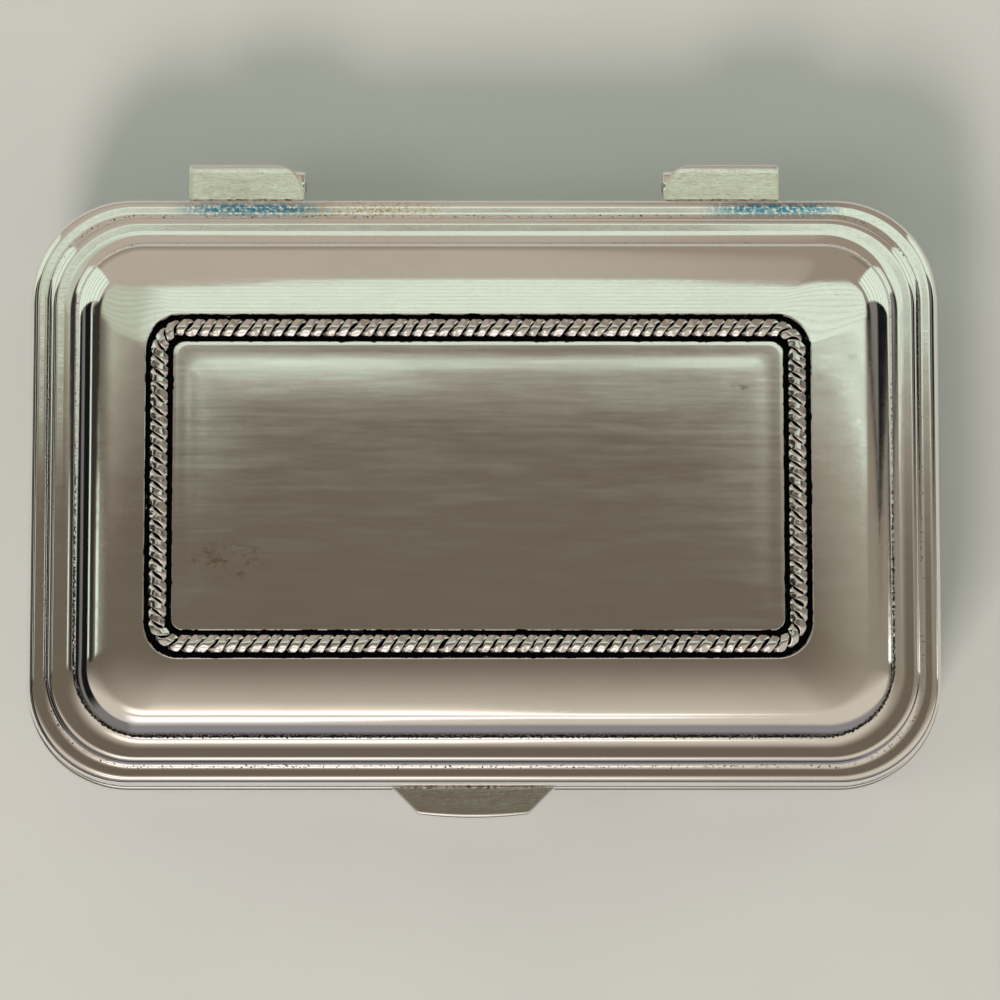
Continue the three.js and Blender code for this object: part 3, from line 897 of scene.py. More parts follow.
@dataclass(frozen=True)
class Velvet(Finish):
    """Short-pile velvet in midnight blue."""

    deep: Colour = (0.008, 0.013, 0.045)
    brushed: Colour = (0.02, 0.03, 0.085)
    roughness: Point = (0.95, 0.8)
    pile: float = 0.12
    sheen: float = 0.7
    sheen_rough: float = 0.35
    sheen_tint: Colour = (0.35, 0.42, 0.75)
    specular: float = 0.1

    def inputs(self, nodes: Nodes) -> dict[str, object]:
        """What its shader is fed."""
        nap = nodes.use(self.effects.nap, Place=nodes.place())
        lean = nap.outputs["Lean"]
        return {
            "Base Color": nodes.mix(lean, self.deep, self.brushed),
            "Roughness": nodes.climb(lean, 0.0, 1.0, *self.roughness),
            "Normal": nodes.bump(nodes.times(nap.outputs["Height"], self.pile)),
            "Sheen Weight": self.sheen,
            "Sheen Roughness": self.sheen_rough,
            "Sheen Tint": self.sheen_tint,
            "Specular IOR Level": self.specular,
        }


@dataclass(frozen=True)
class TableTop(Finish):
    """The pale, matt table that the box stands on."""

    pale: Colour = (0.76, 0.825, 0.845)
    mottled: Colour = (0.73, 0.795, 0.815)
    mottle: Grain = Grain(0.02, 4.0)
    mottle_edge: Point = (0.3, 0.7)
    roughness: Point = (0.6, 0.7)
    specular: float = 0.2

    def inputs(self, nodes: Nodes) -> dict[str, object]:
        """What its shader is fed."""
        share = nodes.climb(nodes.grain(nodes.place(), self.mottle), *self.mottle_edge)
        return {
            "Base Color": nodes.mix(share, self.pale, self.mottled),
            "Roughness": nodes.climb(share, 0.0, 1.0, *self.roughness),
            "Specular IOR Level": self.specular,
        }


@dataclass
class Finishes:
    """Every material of the object, made once."""

    effects: Effects = field(default_factory=Effects)

    def __post_init__(self) -> None:
        """Makes the materials."""
        self.lid = LidPlate("lid_silver_plate", self.effects).make()
        self.plate = SilverPlate("silver_plate", self.effects).make()
        self.lug = LugPlate("lug_silver_plate", self.effects).make()
        self.tab = TabPlate("tab_silver_plate", self.effects).make()
        self.rope = OxidisedSilver("oxidised_rope", self.effects).make()
        self.solder = Solder("solder", self.effects).make()
        self.pin = PinSteel("pin_steel", self.effects).make()
        self.velvet = Velvet("blue_velvet", self.effects).make()
        self.table = TableTop("table_top", self.effects).make()


@dataclass
class LidForm:
    """The lid's profile and plan, which the shell, the rope and the lining share."""

    sheet: float = 0.9
    lip_round: float = 0.2
    skirt_height: float = 3.2
    skirt_round: float = 0.9
    riser_inset: float = 1.4
    riser_hollow: float = 1.1
    riser_round: float = 0.7
    riser_angle: float = 47.0
    second_ledge: float = 0.65
    cove_round: float = 3.0
    cove_angle: float = 22.0
    crease_round: float = 0.3
    wall_angle: float = 48.0
    shoulder_round: float = 4.6
    dome_start: float = 12.0
    dome_end: float = 2.0
    groove_inset: float = 12.2
    groove_width: float = 2.7
    groove_depth: float = 0.5
    groove_draft: float = 0.12
    groove_edge: float = 0.1
    lid_corner: float = 10.0
    shoulder_corner: float = 5.4
    groove_corner: float = 3.5
    panel_corner: float = 1.2
    panel_crown: float = 0.05
    panel_crown_width: float = 9.0
    panel_dip: float = 0.012
    panel_dip_place: float = 1.5
    frame_off_centre: float = -0.55
    roundest: float = 0.9

    def __post_init__(self) -> None:
        """Works out the arcs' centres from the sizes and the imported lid's box."""
        box = NodeBox.of("lid_shell")
        self.half_width = box.size[0] / 2
        self.half_depth = box.size[1] / 2
        self.bottom = box.low[2]
        self.riser_foot = (self.riser_inset, self.skirt_height + self.riser_hollow)
        self.riser_head = down_normal(self.riser_foot, self.riser_angle, self.riser_hollow + self.riser_round)
        self.ledge_height = self.riser_head[1] + self.riser_round
        self.cove = (self.riser_head[0] + self.second_ledge, self.ledge_height + self.cove_round)
        self.crease = down_normal(self.cove, self.cove_angle, self.cove_round - self.crease_round)
        self.shoulder = down_normal(self.crease, self.wall_angle, self.crease_round + self.shoulder_round)
        self.dome_edge = down_normal(self.shoulder, self.dome_start, -self.shoulder_round)
        start_slope, end_slope = math.radians(self.dome_start), math.radians(self.dome_end)
        reach = math.sin(start_slope) - math.sin(end_slope)
        self.dome_radius = (self.groove_inset - self.dome_edge[0]) / reach
        self.dome = down_normal(self.dome_edge, self.dome_start, self.dome_radius)
        self.dome_top = self.dome[1] + self.dome_radius * math.cos(end_slope)
        self.groove_floor = self.dome_top - self.groove_depth
        self.groove_end = self.groove_inset + self.groove_width

    def draw_dome(self, profile: Profile, drop: float, step: float, dome_step: float) -> None:
        """Draws the cove, crease, shoulder and dome, or the same arcs lower down through the sheet.

        Args:
            profile: The profile that is drawn on.
            drop: How far below the outer face.
            step: Widest angle between two points.
            dome_step: The same on the dome.
        """
        low = self.cove_angle - 90
        profile.arc(self.cove, self.cove_round + drop, -90, low, step)
        profile.arc(self.crease, self.crease_round + drop, low, self.wall_angle - 90, 2 * step)
        start, end = 90 + self.dome_start, 90 + self.dome_end
        profile.arc(self.shoulder, self.shoulder_round - drop, 90 + self.wall_angle, start, step)
        profile.arc(self.dome, self.dome_radius - drop, start, end, dome_step)

    def corner(self, inset: float) -> float:
        """Corner radius of the plan at an inset: it tightens to the shoulder, the groove and the panel."""
        places = (0.0, self.dome_edge[0], self.groove_inset, self.groove_end)
        radii = (self.lid_corner, self.shoulder_corner, self.groove_corner, self.panel_corner)
        return min(float(np.interp(inset, places, radii)), self.roundest * (self.half_depth - inset))

    def centre(self, inset: float) -> float:
        """X of a ring's middle: the rope frame sits a little left of the lid's centre."""
        return self.frame_off_centre * float(ease_between(self.dome_edge[0], self.groove_inset, inset))

    def ring(self, point: Point) -> np.ndarray:
        """The lid's ring at a profile point of inset and height above the lid's lower edge."""
        inset, height = point
        halves = (self.half_width - inset, self.half_depth - inset)
        return rounded_ring(*halves, self.corner(inset), self.centre(inset), self.bottom + height)


@dataclass
class LidShell:
    """The pressed lid."""

    finishes: Finishes
    form: LidForm
    middle_gap: float = 1.0
    panel_start: float = 0.4
    panel_rings: int = 26
    panel_soft: float = 0.1
    corner_place: float = 1.75
    corner_width: float = 0.4
    corner_dirt: float = 0.85
    speckle: float = 0.3
    speckle_fade: float = 0.3
    speckle_height: float = 0.5
    second_fade: float = 0.2
    # Painted shade: dark specks along the lower lip and in the crease under the dome, standing in for dark
    # reflections there.
    lip_shade: float = 0.8
    lip_shade_height: float = 0.55
    lip_shade_fade: float = 0.4
    crease_shade: float = 1.8
    crease_place: float = 0.28
    crease_width: float = 0.22
    crease_back: float = 0.45
    crease_ends: Point = (20.0, -20.0)
    heat_place: float = 0.4
    heat_width: float = 0.7

    def inside(self) -> Profile:
        """The inner profile, from the lip to the ceiling."""
        form = self.form
        ledge = form.skirt_height - form.sheet
        profile = Profile((form.sheet, 0.0)).line((form.sheet, ledge)).line((form.riser_inset, ledge))
        profile.line((form.riser_head[0], form.ledge_height - form.sheet))
        form.draw_dome(profile, form.sheet, 6.0, 2.0)
        return profile

    def outside(self) -> Profile:
        """The outer profile, from the lip over the rim, dome and groove to the panel."""
        form = self.form
        top, floor, edge = form.dome_top, form.groove_floor, form.groove_edge
        profile = Profile((form.lip_round, 0.0))
        profile.arc((form.lip_round, form.lip_round), form.lip_round, -90, -180, 15)
        profile.arc((form.skirt_round, form.skirt_height - form.skirt_round), form.skirt_round, 180, 90, 5)
        slope = form.riser_angle
        profile.arc(form.riser_foot, form.riser_hollow, -90, slope - 90, 3)
        profile.arc(form.riser_head, form.riser_round, 90 + slope, 90, 3)
        form.draw_dome(profile, 0.0, 2.0, 0.3)
        profile.arc((form.groove_inset - edge / 2, top - edge), edge, 90, 20, 15)
        profile.line((form.groove_inset + form.groove_draft, floor))
        profile.line((form.groove_end - form.groove_draft, floor))
        profile.arc((form.groove_end + edge / 2, top - edge), edge, 160, 90, 15)
        start, last = form.groove_end + self.panel_start, form.half_depth - self.middle_gap
        for inset in np.linspace(start, last, self.panel_rings):
            within = inset - form.groove_end
            crown = math.sin(math.pi / 2 * min(1.0, within / form.panel_crown_width))
            dip = float(bell(form.panel_dip_place, form.panel_dip_place / 2, within))
            profile.points.append((float(inset), top + form.panel_crown * crown - form.panel_dip * dip))
        return profile

    def dirt_and_shade(self, insets: np.ndarray, heights: np.ndarray, along: np.ndarray) -> np.ndarray:
        """How much dark is put on: real dirt on the ledges, and painted shade round the lip and in the crease
        under the dome.

        Args:
            insets: Each ring's inset, one a row.
            heights: Each ring's height, one a row.
            along: Y of each ring's points.

        Returns:
            The amount at each ring's points.
        """
        form = self.form
        first = ease_between(form.skirt_round - self.speckle_fade, form.skirt_round, insets)
        first = first * ease_between(self.corner_place + self.speckle_fade, self.corner_place, insets)
        second = ease_between(form.riser_head[0], form.riser_head[0] + self.second_fade, insets)
        second = second * ease_between(form.crease[0], form.cove[0], insets)
        corner = self.corner_dirt * bell(self.corner_place, self.corner_width, insets)
        ledges = np.maximum(corner, self.speckle * np.maximum(first, second))
        ledges = ledges * (heights > self.speckle_height)
        # Painted shade round the lip and in the crease, added to the real dirt on the ledges.
        lip_top = self.lip_shade_height
        lip = self.lip_shade * ease_between(lip_top, lip_top - self.lip_shade_fade, heights)
        crease = self.crease_shade * bell(form.crease[0] + self.crease_place, self.crease_width, insets)
        front = self.crease_back + (1 - self.crease_back) * ease_between(*self.crease_ends, along)
        return np.maximum(np.maximum(ledges, lip), crease * front)

    def build(self) -> None:
        """Makes the shell with the point values that its finish reads."""
        form = self.form
        inner, outer = self.inside().points[::-1], self.outside().points
        rings = [form.ring(point) for point in inner + outer]
        insets, heights = np.hsplit(np.array(inner + outer), 2)
        outward = np.repeat([0.0, 1.0], [len(inner), len(outer)])[:, None]
        along = np.array([ring[:, 1] for ring in rings])
        groove = np.maximum(form.groove_inset - insets, insets - form.groove_end)
        edges = (form.groove_end - self.panel_soft, form.groove_end + self.panel_soft)
        columns = {
            "groove": np.where(outward > 0, groove, 1.0),
            "panel": ease_between(*edges, insets) * outward,
            "dirt_and_shade": self.dirt_and_shade(insets, heights, along) * outward,
            "ledge": bell(form.riser_inset - self.heat_place, self.heat_width, insets) * outward,
        }
        values = {name: np.broadcast_to(column, along.shape) for name, column in columns.items()}
        piece = Sketch().loft(rings, False, values).make("pressed_lid")
        settle(piece, Body.LID, Slot.PLATE, self.finishes.lid, "lid_shell")


@dataclass
class RopeFrame:
    """Three strands of twisted wire that lie in the groove, rolled flat on top."""

    finishes: Finishes
    form: LidForm
    half_width: float = 1.0
    height: float = 0.92
    lay: float = 3.8
    plies: int = 3
    strand: float = 0.44
    upright: float = 0.45
    flat_from: float = 0.7
    flat_ease: float = 0.05
    crown_slope: float = 11.0
    facet_from: float = 0.42
    facet_slope: float = 24.0
    dark_from: float = 0.76
    seat: float = 0.05
    steps_per_turn: int = 28
    sides: int = 16
    corner_squeeze: float = 0.12
    core: Point = (0.42, 0.7)
    dark_ease: float = 0.16
    underside: Point = (0.12, -0.2)
    unevenness: float = 0.55
    rope_waves: float = 9.0
    strand_wander: float = 0.4
    strand_waves: float = 30.0
    swell: float = 0.14
    swell_waves: float = 40.0
    press: float = 0.06
    lean: float = 0.16
    press_waves: float = 36.0
    seed: float = 7.3

    def route(self, steps: int) -> tuple[np.ndarray, np.ndarray, np.ndarray]:
        """The rope's centre line in plan, counter-clockwise.

        Args:
            steps: How many points it has.

        Returns:
            Points, unit headings and how far each point is into a corner, from 0 to 1.
        """
        form = self.form
        inset = form.groove_inset + form.groove_width / 2
        radius = form.corner(inset)
        half_width = form.half_width - inset - radius
        half_depth = form.half_depth - inset - radius
        arc = math.pi / 2 * radius
        runs = [2 * half_depth, arc, 2 * half_width, arc] * 2
        total = sum(runs)
        corners = [(1, 1), (-1, 1), (-1, -1), (1, -1)]
        points, headings, bends = [], [], []
        for distance in np.arange(steps) / steps * total:
            leg = 0
            while distance > runs[leg]:
                distance -= runs[leg]
                leg += 1
            quarter = leg // 2
            sign_x, sign_y = corners[quarter]
            turn = math.pi / 2 * quarter
            if leg % 2:
                turn += distance / radius
            way = np.array([-math.sin(turn), math.cos(turn)])
            out = np.array([math.cos(turn), math.sin(turn)])
            centre = np.array([sign_x * half_width, sign_y * half_depth])
            point = centre + radius * out
            if leg % 2 == 0:
                point = point + way * (distance - runs[leg])
            points.append(point + np.array([form.frame_off_centre, 0.0]))
            headings.append(way)
            bends.append(math.sin(math.pi * distance / radius / (math.pi / 2)) if leg % 2 else 0.0)
        return np.array(points), np.array(headings), np.array(bends)

    def waver(self, count: int, offset: float, scale: float) -> np.ndarray:
        """Seeded smooth noise that closes on itself."""
        angles = 2 * math.pi * np.arange(count) / count
        row = offset + self.seed
        places = [Vector((scale * math.cos(a), scale * math.sin(a), row)) for a in angles]
        return np.array([noise.noise(place) for place in places])

    def build(self) -> None:
        """Makes the strands."""
        form = self.form
        bottom = form.bottom + form.groove_floor + self.seat
        inset = form.groove_inset + form.groove_width / 2
        corner = form.corner(inset)
        length = 4 * (form.half_width + form.half_depth - 2 * inset) - (8 - 2 * math.pi) * corner
        turns = round(length / self.lay)
        steps = turns * self.steps_per_turn
        points, headings, bends = self.route(steps)
        right = np.column_stack([headings[:, 1], -headings[:, 0]])
        section = 2 * math.pi * np.arange(self.sides) / self.sides
        drift = self.unevenness * self.waver(steps, 0.0, self.rope_waves)
        scale = self.half_width * (1 + self.flat_from) / self.height
        crown = math.tan(math.radians(self.crown_slope)) * scale
        facet = math.tan(math.radians(self.facet_slope)) * scale - crown
        ease = self.flat_ease
        sketch = Sketch()
        for ply in range(self.plies):
            phase = 2 * math.pi * (turns * np.arange(steps) / steps + ply / self.plies)
            wander = self.waver(steps, 3.0 * (ply + 1), self.strand_waves)
            phase = phase + drift + self.strand_wander * self.unevenness * wander
            swell = self.strand * (1 + self.swell * self.waver(steps, 20.0 + ply, self.swell_waves))
            press = self.flat_from + self.press * self.waver(steps, 40.0 + ply, self.press_waves)
            lean = self.lean * self.waver(steps, 60.0 + ply, self.press_waves)
            rings, valleys = [], []
            for step in range(steps):
                out = (1 - self.strand) * math.cos(phase[step]) + swell[step] * np.cos(section)
                up = (1 - self.strand) * math.sin(phase[step]) + swell[step] * np.sin(section)
                side = np.abs(out)
                flat = press[step] + lean[step] * out - crown * side
                flat = flat - facet * ease * np.logaddexp(0, (side - self.facet_from) / ease)
                pressed = flat - ease * np.logaddexp(0, (flat - up) / ease)
                squeeze = 1 - self.corner_squeeze * bends[step]
                plan = points[step] + np.outer(out * self.half_width * squeeze, right[step])
                plan = plan + np.outer(out * self.upright, headings[step])
                share = np.clip((pressed + 1) / (self.flat_from + 1), 0, 1)
                rings.append(np.column_stack([plan, bottom + self.height * share]))
                between = 1 - ease_between(*self.core, np.hypot(out, up))
                end = ease_between(self.dark_from, self.dark_from + self.dark_ease, side)
                under = ease_between(*self.underside, up)
                valleys.append(np.maximum(np.maximum(between, end), under))
            sketch.loft(rings, True, {"valley": np.array(valleys)})
        piece = sketch.make("rope_frame")
        settle(piece, Body.LID, Slot.OXIDISED, self.finishes.rope, "rope_border")


def round_corners(points: Sequence[Point], radii: Sequence[float], steps: int = 8) -> list[Point]:
    """A closed outline with its corners rounded.

    Args:
        points: The corners in order.
        radii: The radius at each corner.
        steps: Steps in each rounded corner.

    Returns:
        The outline's points.
    """
    outline: list[Point] = []
    count = len(points)
    for index, radius in enumerate(radii):
        here = np.array(points[index])
        before = np.array(points[index - 1]) - here
        after = np.array(points[(index + 1) % count]) - here
        before_length, after_length = np.linalg.norm(before), np.linalg.norm(after)
        before, after = before / before_length, after / after_length
        angle = math.acos(float(np.clip(before @ after, -1, 1)))
        longest = LARGEST_CUT * float(min(before_length, after_length))
        cut = min(radius / math.tan(angle / 2), longest)
        for step in range(steps + 1):
            share = step / steps
            bend = (1 - share) ** 2 * before * cut + share**2 * after * cut
            point = here + bend
            outline.append((float(point[0]), float(point[1])))
    return outline


def divide_outline(outline: np.ndarray, spacing: float) -> np.ndarray:
    """A closed outline with points added so that none lie further apart than a spacing."""
    points = []
    for start, end in zip(outline, np.roll(outline, -1, axis=0)):
        count = max(1, math.ceil(float(np.linalg.norm(end - start)) / spacing))
        points += [start + (end - start) * step / count for step in range(count)]
    return np.array(points)


def inset_outline(outline: np.ndarray, distance: float) -> np.ndarray:
    """A closed counter-clockwise outline drawn in by a distance."""
    before = outline - np.roll(outline, 1, axis=0)
    after = np.roll(outline, -1, axis=0) - outline
    before = before / np.linalg.norm(before, axis=1)[:, None]
    after = after / np.linalg.norm(after, axis=1)[:, None]
    normal = np.column_stack([-(before + after)[:, 1], (before + after)[:, 0]])
    normal = normal / np.linalg.norm(normal, axis=1)[:, None]
    spread = np.clip(np.abs(normal[:, 0] * -before[:, 1] + normal[:, 1] * before[:, 0]), 0.5, 1)
    return outline + normal * (distance / spread)[:, None]


@dataclass
class Bar:
    """A side profile carried along X between two shaped ends, with rounded end edges."""

    profile: Sequence[Point]
    left: Callable[[np.ndarray], np.ndarray]
    right: Callable[[np.ndarray], np.ndarray]
    edge: float = 0.15
    steps: int = 24
    edge_steps: int = 4
    spacing: float = 0.3
    sharp: float = 40.0

    def build(self, name: str, bend: Optional[Callable[[np.ndarray], np.ndarray]] = None) -> Object:
        """Makes the bar.

        Args:
            name: The object's name.
            bend: A last change to the points of each ring, if any.

        Returns:
            The bar, not yet riding on anything.
        """
        outline = np.array(self.profile)
        area = np.sum(outline[:, 0] * np.roll(outline[:, 1], -1) - np.roll(outline[:, 0], -1) * outline[:, 1])
        if area < 0:
            outline = outline[::-1]
        outline = divide_outline(outline, self.spacing)

        def ring(drawn_in: float, share: float, shift: float) -> np.ndarray:
            """A ring drawn in by a distance, at a share of the way from left to right."""
            shape = inset_outline(outline, drawn_in) if drawn_in > 0 else outline
            start, end = self.left(shape[:, 0]), self.right(shape[:, 0])
            return np.column_stack([start + (end - start) * share + shift, shape])

        angles = np.linspace(0, math.pi / 2, self.edge_steps + 1)
        curve = [(self.edge * (1 - math.sin(a)), self.edge * (1 - math.cos(a))) for a in angles]
        rings = [ring(drawn_in, 0.0, shift) for drawn_in, shift in curve]
        shares = np.linspace(0, 1, self.steps + 1)[1:-1]
        rings += [ring(0.0, share, self.edge * (1 - 2 * share)) for share in shares]
        rings += [ring(drawn_in, 1.0, -shift) for drawn_in, shift in curve[::-1]]
        if bend is not None:
            rings = [bend(points) for points in rings]
        return Sketch().loft(rings, False).make(name, self.sharp)


def flat_end(x: float) -> Callable[[np.ndarray], np.ndarray]:
    """A square end at an X."""
    return lambda ys: np.full(len(ys), x)


def cross_ring(centre: Place, radius: float, sides: int) -> np.ndarray:
    """A round ring that stands across X."""
    angles = 2 * math.pi * np.arange(sides) / sides
    x, y, z = centre
    return np.column_stack([np.full(sides, x), y + radius * np.cos(angles), z + radius * np.sin(angles)])


@dataclass
class RoundRod:
    """A round rod along X with domed ends."""

    axis: Place
    radius: float
    ends: Point
    dome: float
    dome_rings: tuple[float, ...] = (0.25, 0.6, 0.85, 1.0)
    sides: int = 48
    sharp: float = 50.0

    def build(self, name: str) -> Object:
        """Makes the rod, not yet riding on anything."""
        low, high = self.ends
        stations = []
        for share in self.dome_rings:
            stations.append((low + self.dome * (1 - math.sqrt(1 - share**2)), self.radius * share))
        stations += [(low + high - x, reach) for x, reach in stations[::-1]]
        rings = [cross_ring((x, self.axis[1], self.axis[2]), reach, self.sides) for x, reach in stations]
        return Sketch().loft(rings, False).make(name, self.sharp)


@dataclass
class SolderBead:
    """A lumpy bead of solder along X. Each set of lumps has a height, a fineness and a row of the noise."""

    ends: Point
    y: float
    z: float
    radius: float
    seed: float
    lumps: tuple[Place, ...] = ((0.55, 1.7, 0.0), (0.3, 5.0, 4.0))
    taper: int = 8
    blunt: float = 0.02
    steps: int = 90
    sides: int = 10
    sharp: float = 60.0

    def build(self, name: str) -> Object:
        """Makes the bead, not yet riding on anything."""
        rings = []
        for step in range(self.steps + 1):
            share = step / self.steps
            x = self.ends[0] + (self.ends[1] - self.ends[0]) * share
            lump = 1.0
            for height, fineness, row in self.lumps:
                lump += height * noise.noise(Vector((fineness * x, self.seed, row)))
            taper = math.sqrt(max(self.blunt, 1 - (2 * share - 1) ** self.taper))
            rings.append(cross_ring((x, self.y, self.z), self.radius * lump * taper, self.sides))
        return Sketch().loft(rings, False).make(name, self.sharp)


@dataclass
class ThumbTab:
    """The tapered lift on the lid's front edge, with its solder seam."""

    finishes: Finishes
    lip_width: float = 10.8
    bow: float = 0.35
    root_round: float = 0.05
    top_round: float = 0.6
    under_round: float = 0.2
    edge: float = 0.22
    steps: int = 40
    seam_inset: float = 0.9
    seam_offset: float = 0.02
    seam_radius: float = 0.11
    seam_seed: float = 1.0

    def build(self) -> None:
        """Makes the tab and its seam."""
        box = NodeBox.of("thumb_tab")
        root, lip = box.high[1], box.low[1]
        bottom, top = box.low[2], box.high[2]
        centre = box.middle_x
        half_root = box.size[0] / 2
        profile = round_corners(
            [(root, bottom), (root, top), (lip, top), (lip, bottom)],
            [self.root_round, self.root_round, self.top_round, self.under_round],
        )

        def reach(ys: np.ndarray) -> np.ndarray:
            """How far each Y is from the root to the lip, from 0 to 1."""
            return np.clip((root - ys) / (root - lip), 0, 1)

        def half(ys: np.ndarray) -> np.ndarray:
            """Half the tab's width at each Y."""
            return half_root + (self.lip_width / 2 - half_root) * reach(ys)

        def bend(points: np.ndarray) -> np.ndarray:
            """Bows the lip in plan."""
            bent = points.copy()
            across = (points[:, 0] - centre) / half(points[:, 1])
            bent[:, 1] += self.bow * reach(points[:, 1]) * across**2
            return bent

        ends = (lambda ys: centre - half(ys), lambda ys: centre + half(ys))
        tab = Bar(profile, *ends, self.edge, self.steps).build("thumb_lift", bend)
        settle(tab, Body.LID, Slot.PLATE, self.finishes.tab, "thumb_tab")
        seam = SolderBead(
            (centre - half_root + self.seam_inset, centre + half_root - self.seam_inset),
            root - self.seam_offset,
            top + self.seam_offset,
            self.seam_radius,
            self.seam_seed,
        ).build("tab_solder")
        settle(seam, Body.LID, Slot.PLATE, self.finishes.solder)


@dataclass
class Hinges:
    """Both pinned lug hinges: upper lugs, lower lugs and pins."""

    finishes: Finishes
    axis: Place
    front_round: float = 0.05
    under_round: float = 0.12
    back_round: float = 0.55
    top_round: float = 0.1
    end_cut: float = 3.2
    top_drop: float = 0.35
    plate_edge: float = 0.16
    plate_steps: int = 30
    tongue_width: float = 4.6
    tongue_edge: float = 0.08
    tongue_steps: int = 32
    ear_radius: float = 1.6
    ear_arc: Point = (-8.0, 176.0)
    ear_steps: int = 39
    ear_edge: float = 0.1
    running_gap: float = 0.25
    bore_gap: float = 0.1
    bore_reach: float = 10.0
    bore_dome: float = 0.3
    foot_thickness: float = 1.1
    heel_reach: float = 1.75
    heel_tilt: float = 10.0
    slot_below: float = 1.0
    slot_past: float = 4.0
    slot_edge: float = 0.02
    pin_dome: float = 0.15
    seam_inset: float = 0.2
    seam_sink: float = 0.02
    seam_radius: float = 0.14
    sharp: float = 35.0

    def arc(self, radius: float, start: float, end: float, steps: int) -> list[Point]:
        """Points of an arc round the pin, in Y and Z."""
        _, y, z = self.axis
        angles = np.radians(np.linspace(start, end, steps + 1))
        return [(y + radius * math.cos(a), z + radius * math.sin(a)) for a in angles]

    def upper_lug(self, side: Side) -> None:
        """Makes a lid's lug: a plate with a sloping top and a cut inner end, and a tongue round the pin.

        Args:
            side: Which hinge it belongs to.
        """
        node = f"lid_hinge_lug_{side.word}"
        box = NodeBox.of(node)
        lid_bottom = NodeBox.of("lid_shell").low[2]
        front, back = box.low[1], box.high[1]
        top = box.high[2]
        profile = round_corners(
            [(front, lid_bottom), (back, lid_bottom), (back, top - self.top_drop), (front, top)],
            [self.front_round, self.under_round, self.back_round, self.top_round],
        )
        outer = box.high[0] if side is Side.RIGHT else box.low[0]
        inner = box.low[0] if side is Side.RIGHT else box.high[0]

        def cut(ys: np.ndarray) -> np.ndarray:
            """X of the inner end: a convex curve from the lid to the back edge."""
            share = np.sqrt(np.clip((back - ys) / (back - front), 0, 1))
            return inner + side.value * self.end_cut * (1 - share) ** 2

        ends = (cut, flat_end(outer)) if side is Side.RIGHT else (flat_end(outer), cut)
        lug = Bar(profile, *ends, self.plate_edge, self.plate_steps).build(f"lid_lug_{side.word}")
        barrel = self.ear_radius - self.running_gap
        root = (lid_bottom + top - self.top_drop) / 2
        curve = self.arc(barrel, -180.0, 0.0, self.tongue_steps)
        section = [(self.axis[1] - barrel, root), *curve, (self.axis[1] + barrel, root)]
        half = self.tongue_width / 2
        ends = (flat_end(box.middle_x - half), flat_end(box.middle_x + half))
        combine(lug, Bar(section, *ends, self.tongue_edge).build("tongue"), "UNION", self.sharp)
        combine(lug, self.bore(box.middle_x), "DIFFERENCE", self.sharp)
        settle(lug, Body.LID, Slot.PLATE, self.finishes.lug, node)

    def bore(self, middle: float) -> Object:
        """A rod that cuts the pin's bore."""
        radius = NodeBox.of("hinge_pin_left").high[2] - self.axis[2] + self.bore_gap
        ends = (middle - self.bore_reach, middle + self.bore_reach)
        return RoundRod(self.axis, radius, ends, self.bore_dome).build("bore")

    def lower_lug(self, side: Side) -> None:
        """Makes a tray's lug: two round ears on a foot, with a flat heel that stops the open lid.

        Args:
            side: Which hinge it belongs to.
        """
        node = f"base_hinge_lug_{side.word}"
        box = NodeBox.of(node)
        _, y, z = self.axis
        front, bottom = box.low[1], box.low[2]
        tilt = math.radians(self.heel_tilt)

        def heel(down: float) -> Point:
            """A point of the heel, a distance down its face."""
            return (
                y + self.heel_reach * math.cos(tilt) - down * math.sin(tilt),
                z - self.heel_reach * math.sin(tilt) - down * math.cos(tilt),
            )

        ear = self.arc(self.ear_radius, *self.ear_arc, self.ear_steps)
        foot = [(front, ear[-1][1]), (front, bottom), (front + self.foot_thickness, bottom)]
        shape = [*ear, *foot, heel(self.ear_radius - self.running_gap), heel(0.0)]
        ends = (flat_end(box.low[0]), flat_end(box.high[0]))
        lug = Bar(shape, *ends, self.ear_edge).build(f"tray_lug_{side.word}")
        slot_front, slot_back = y - self.ear_radius, y + self.slot_past
        under, over = bottom - self.slot_below, z + self.slot_past
        slot = [(slot_front, under), (slot_back, under), (slot_back, over), (slot_front, over)]
        half = self.tongue_width / 2 + self.running_gap
        ends = (flat_end(box.middle_x - half), flat_end(box.middle_x + half))
        cutter = Bar(slot, *ends, self.slot_edge, steps=1, edge_steps=1)
        combine(lug, cutter.build("slot"), "DIFFERENCE", self.sharp)
        combine(lug, self.bore(box.middle_x), "DIFFERENCE", self.sharp)
        settle(lug, Body.TRAY, Slot.PLATE, self.finishes.plate, node)

    def pin(self, side: Side) -> None:
        """Makes a hinge pin with domed ends."""
        node = f"hinge_pin_{side.word}"
        box = NodeBox.of(node)
        radius = box.size[2] / 2
        ends = (box.low[0], box.high[0])
        pin = RoundRod(self.axis, radius, ends, self.pin_dome).build(f"pin_{side.word}")
        settle(pin, Body.TRAY, Slot.PIN, self.finishes.pin, node)

    def seam(self, side: Side) -> None:
        """Makes the grubby solder line where a lug meets the lid."""
        box = NodeBox.of(f"lid_hinge_lug_{side.word}")
        bead = SolderBead(
            (box.low[0] + self.seam_inset, box.high[0] - self.seam_inset),
            box.low[1] - self.seam_sink,
            box.high[2] - self.seam_sink,
            self.seam_radius,
            side.value,
        ).build(f"lug_solder_{side.word}")
        settle(bead, Body.LID, Slot.PLATE, self.finishes.solder)

    def build(self) -> None:
        """Makes both hinges."""
        for side in Side:
            self.upper_lug(side)
            self.lower_lug(side)
            self.pin(side)
            self.seam(side)


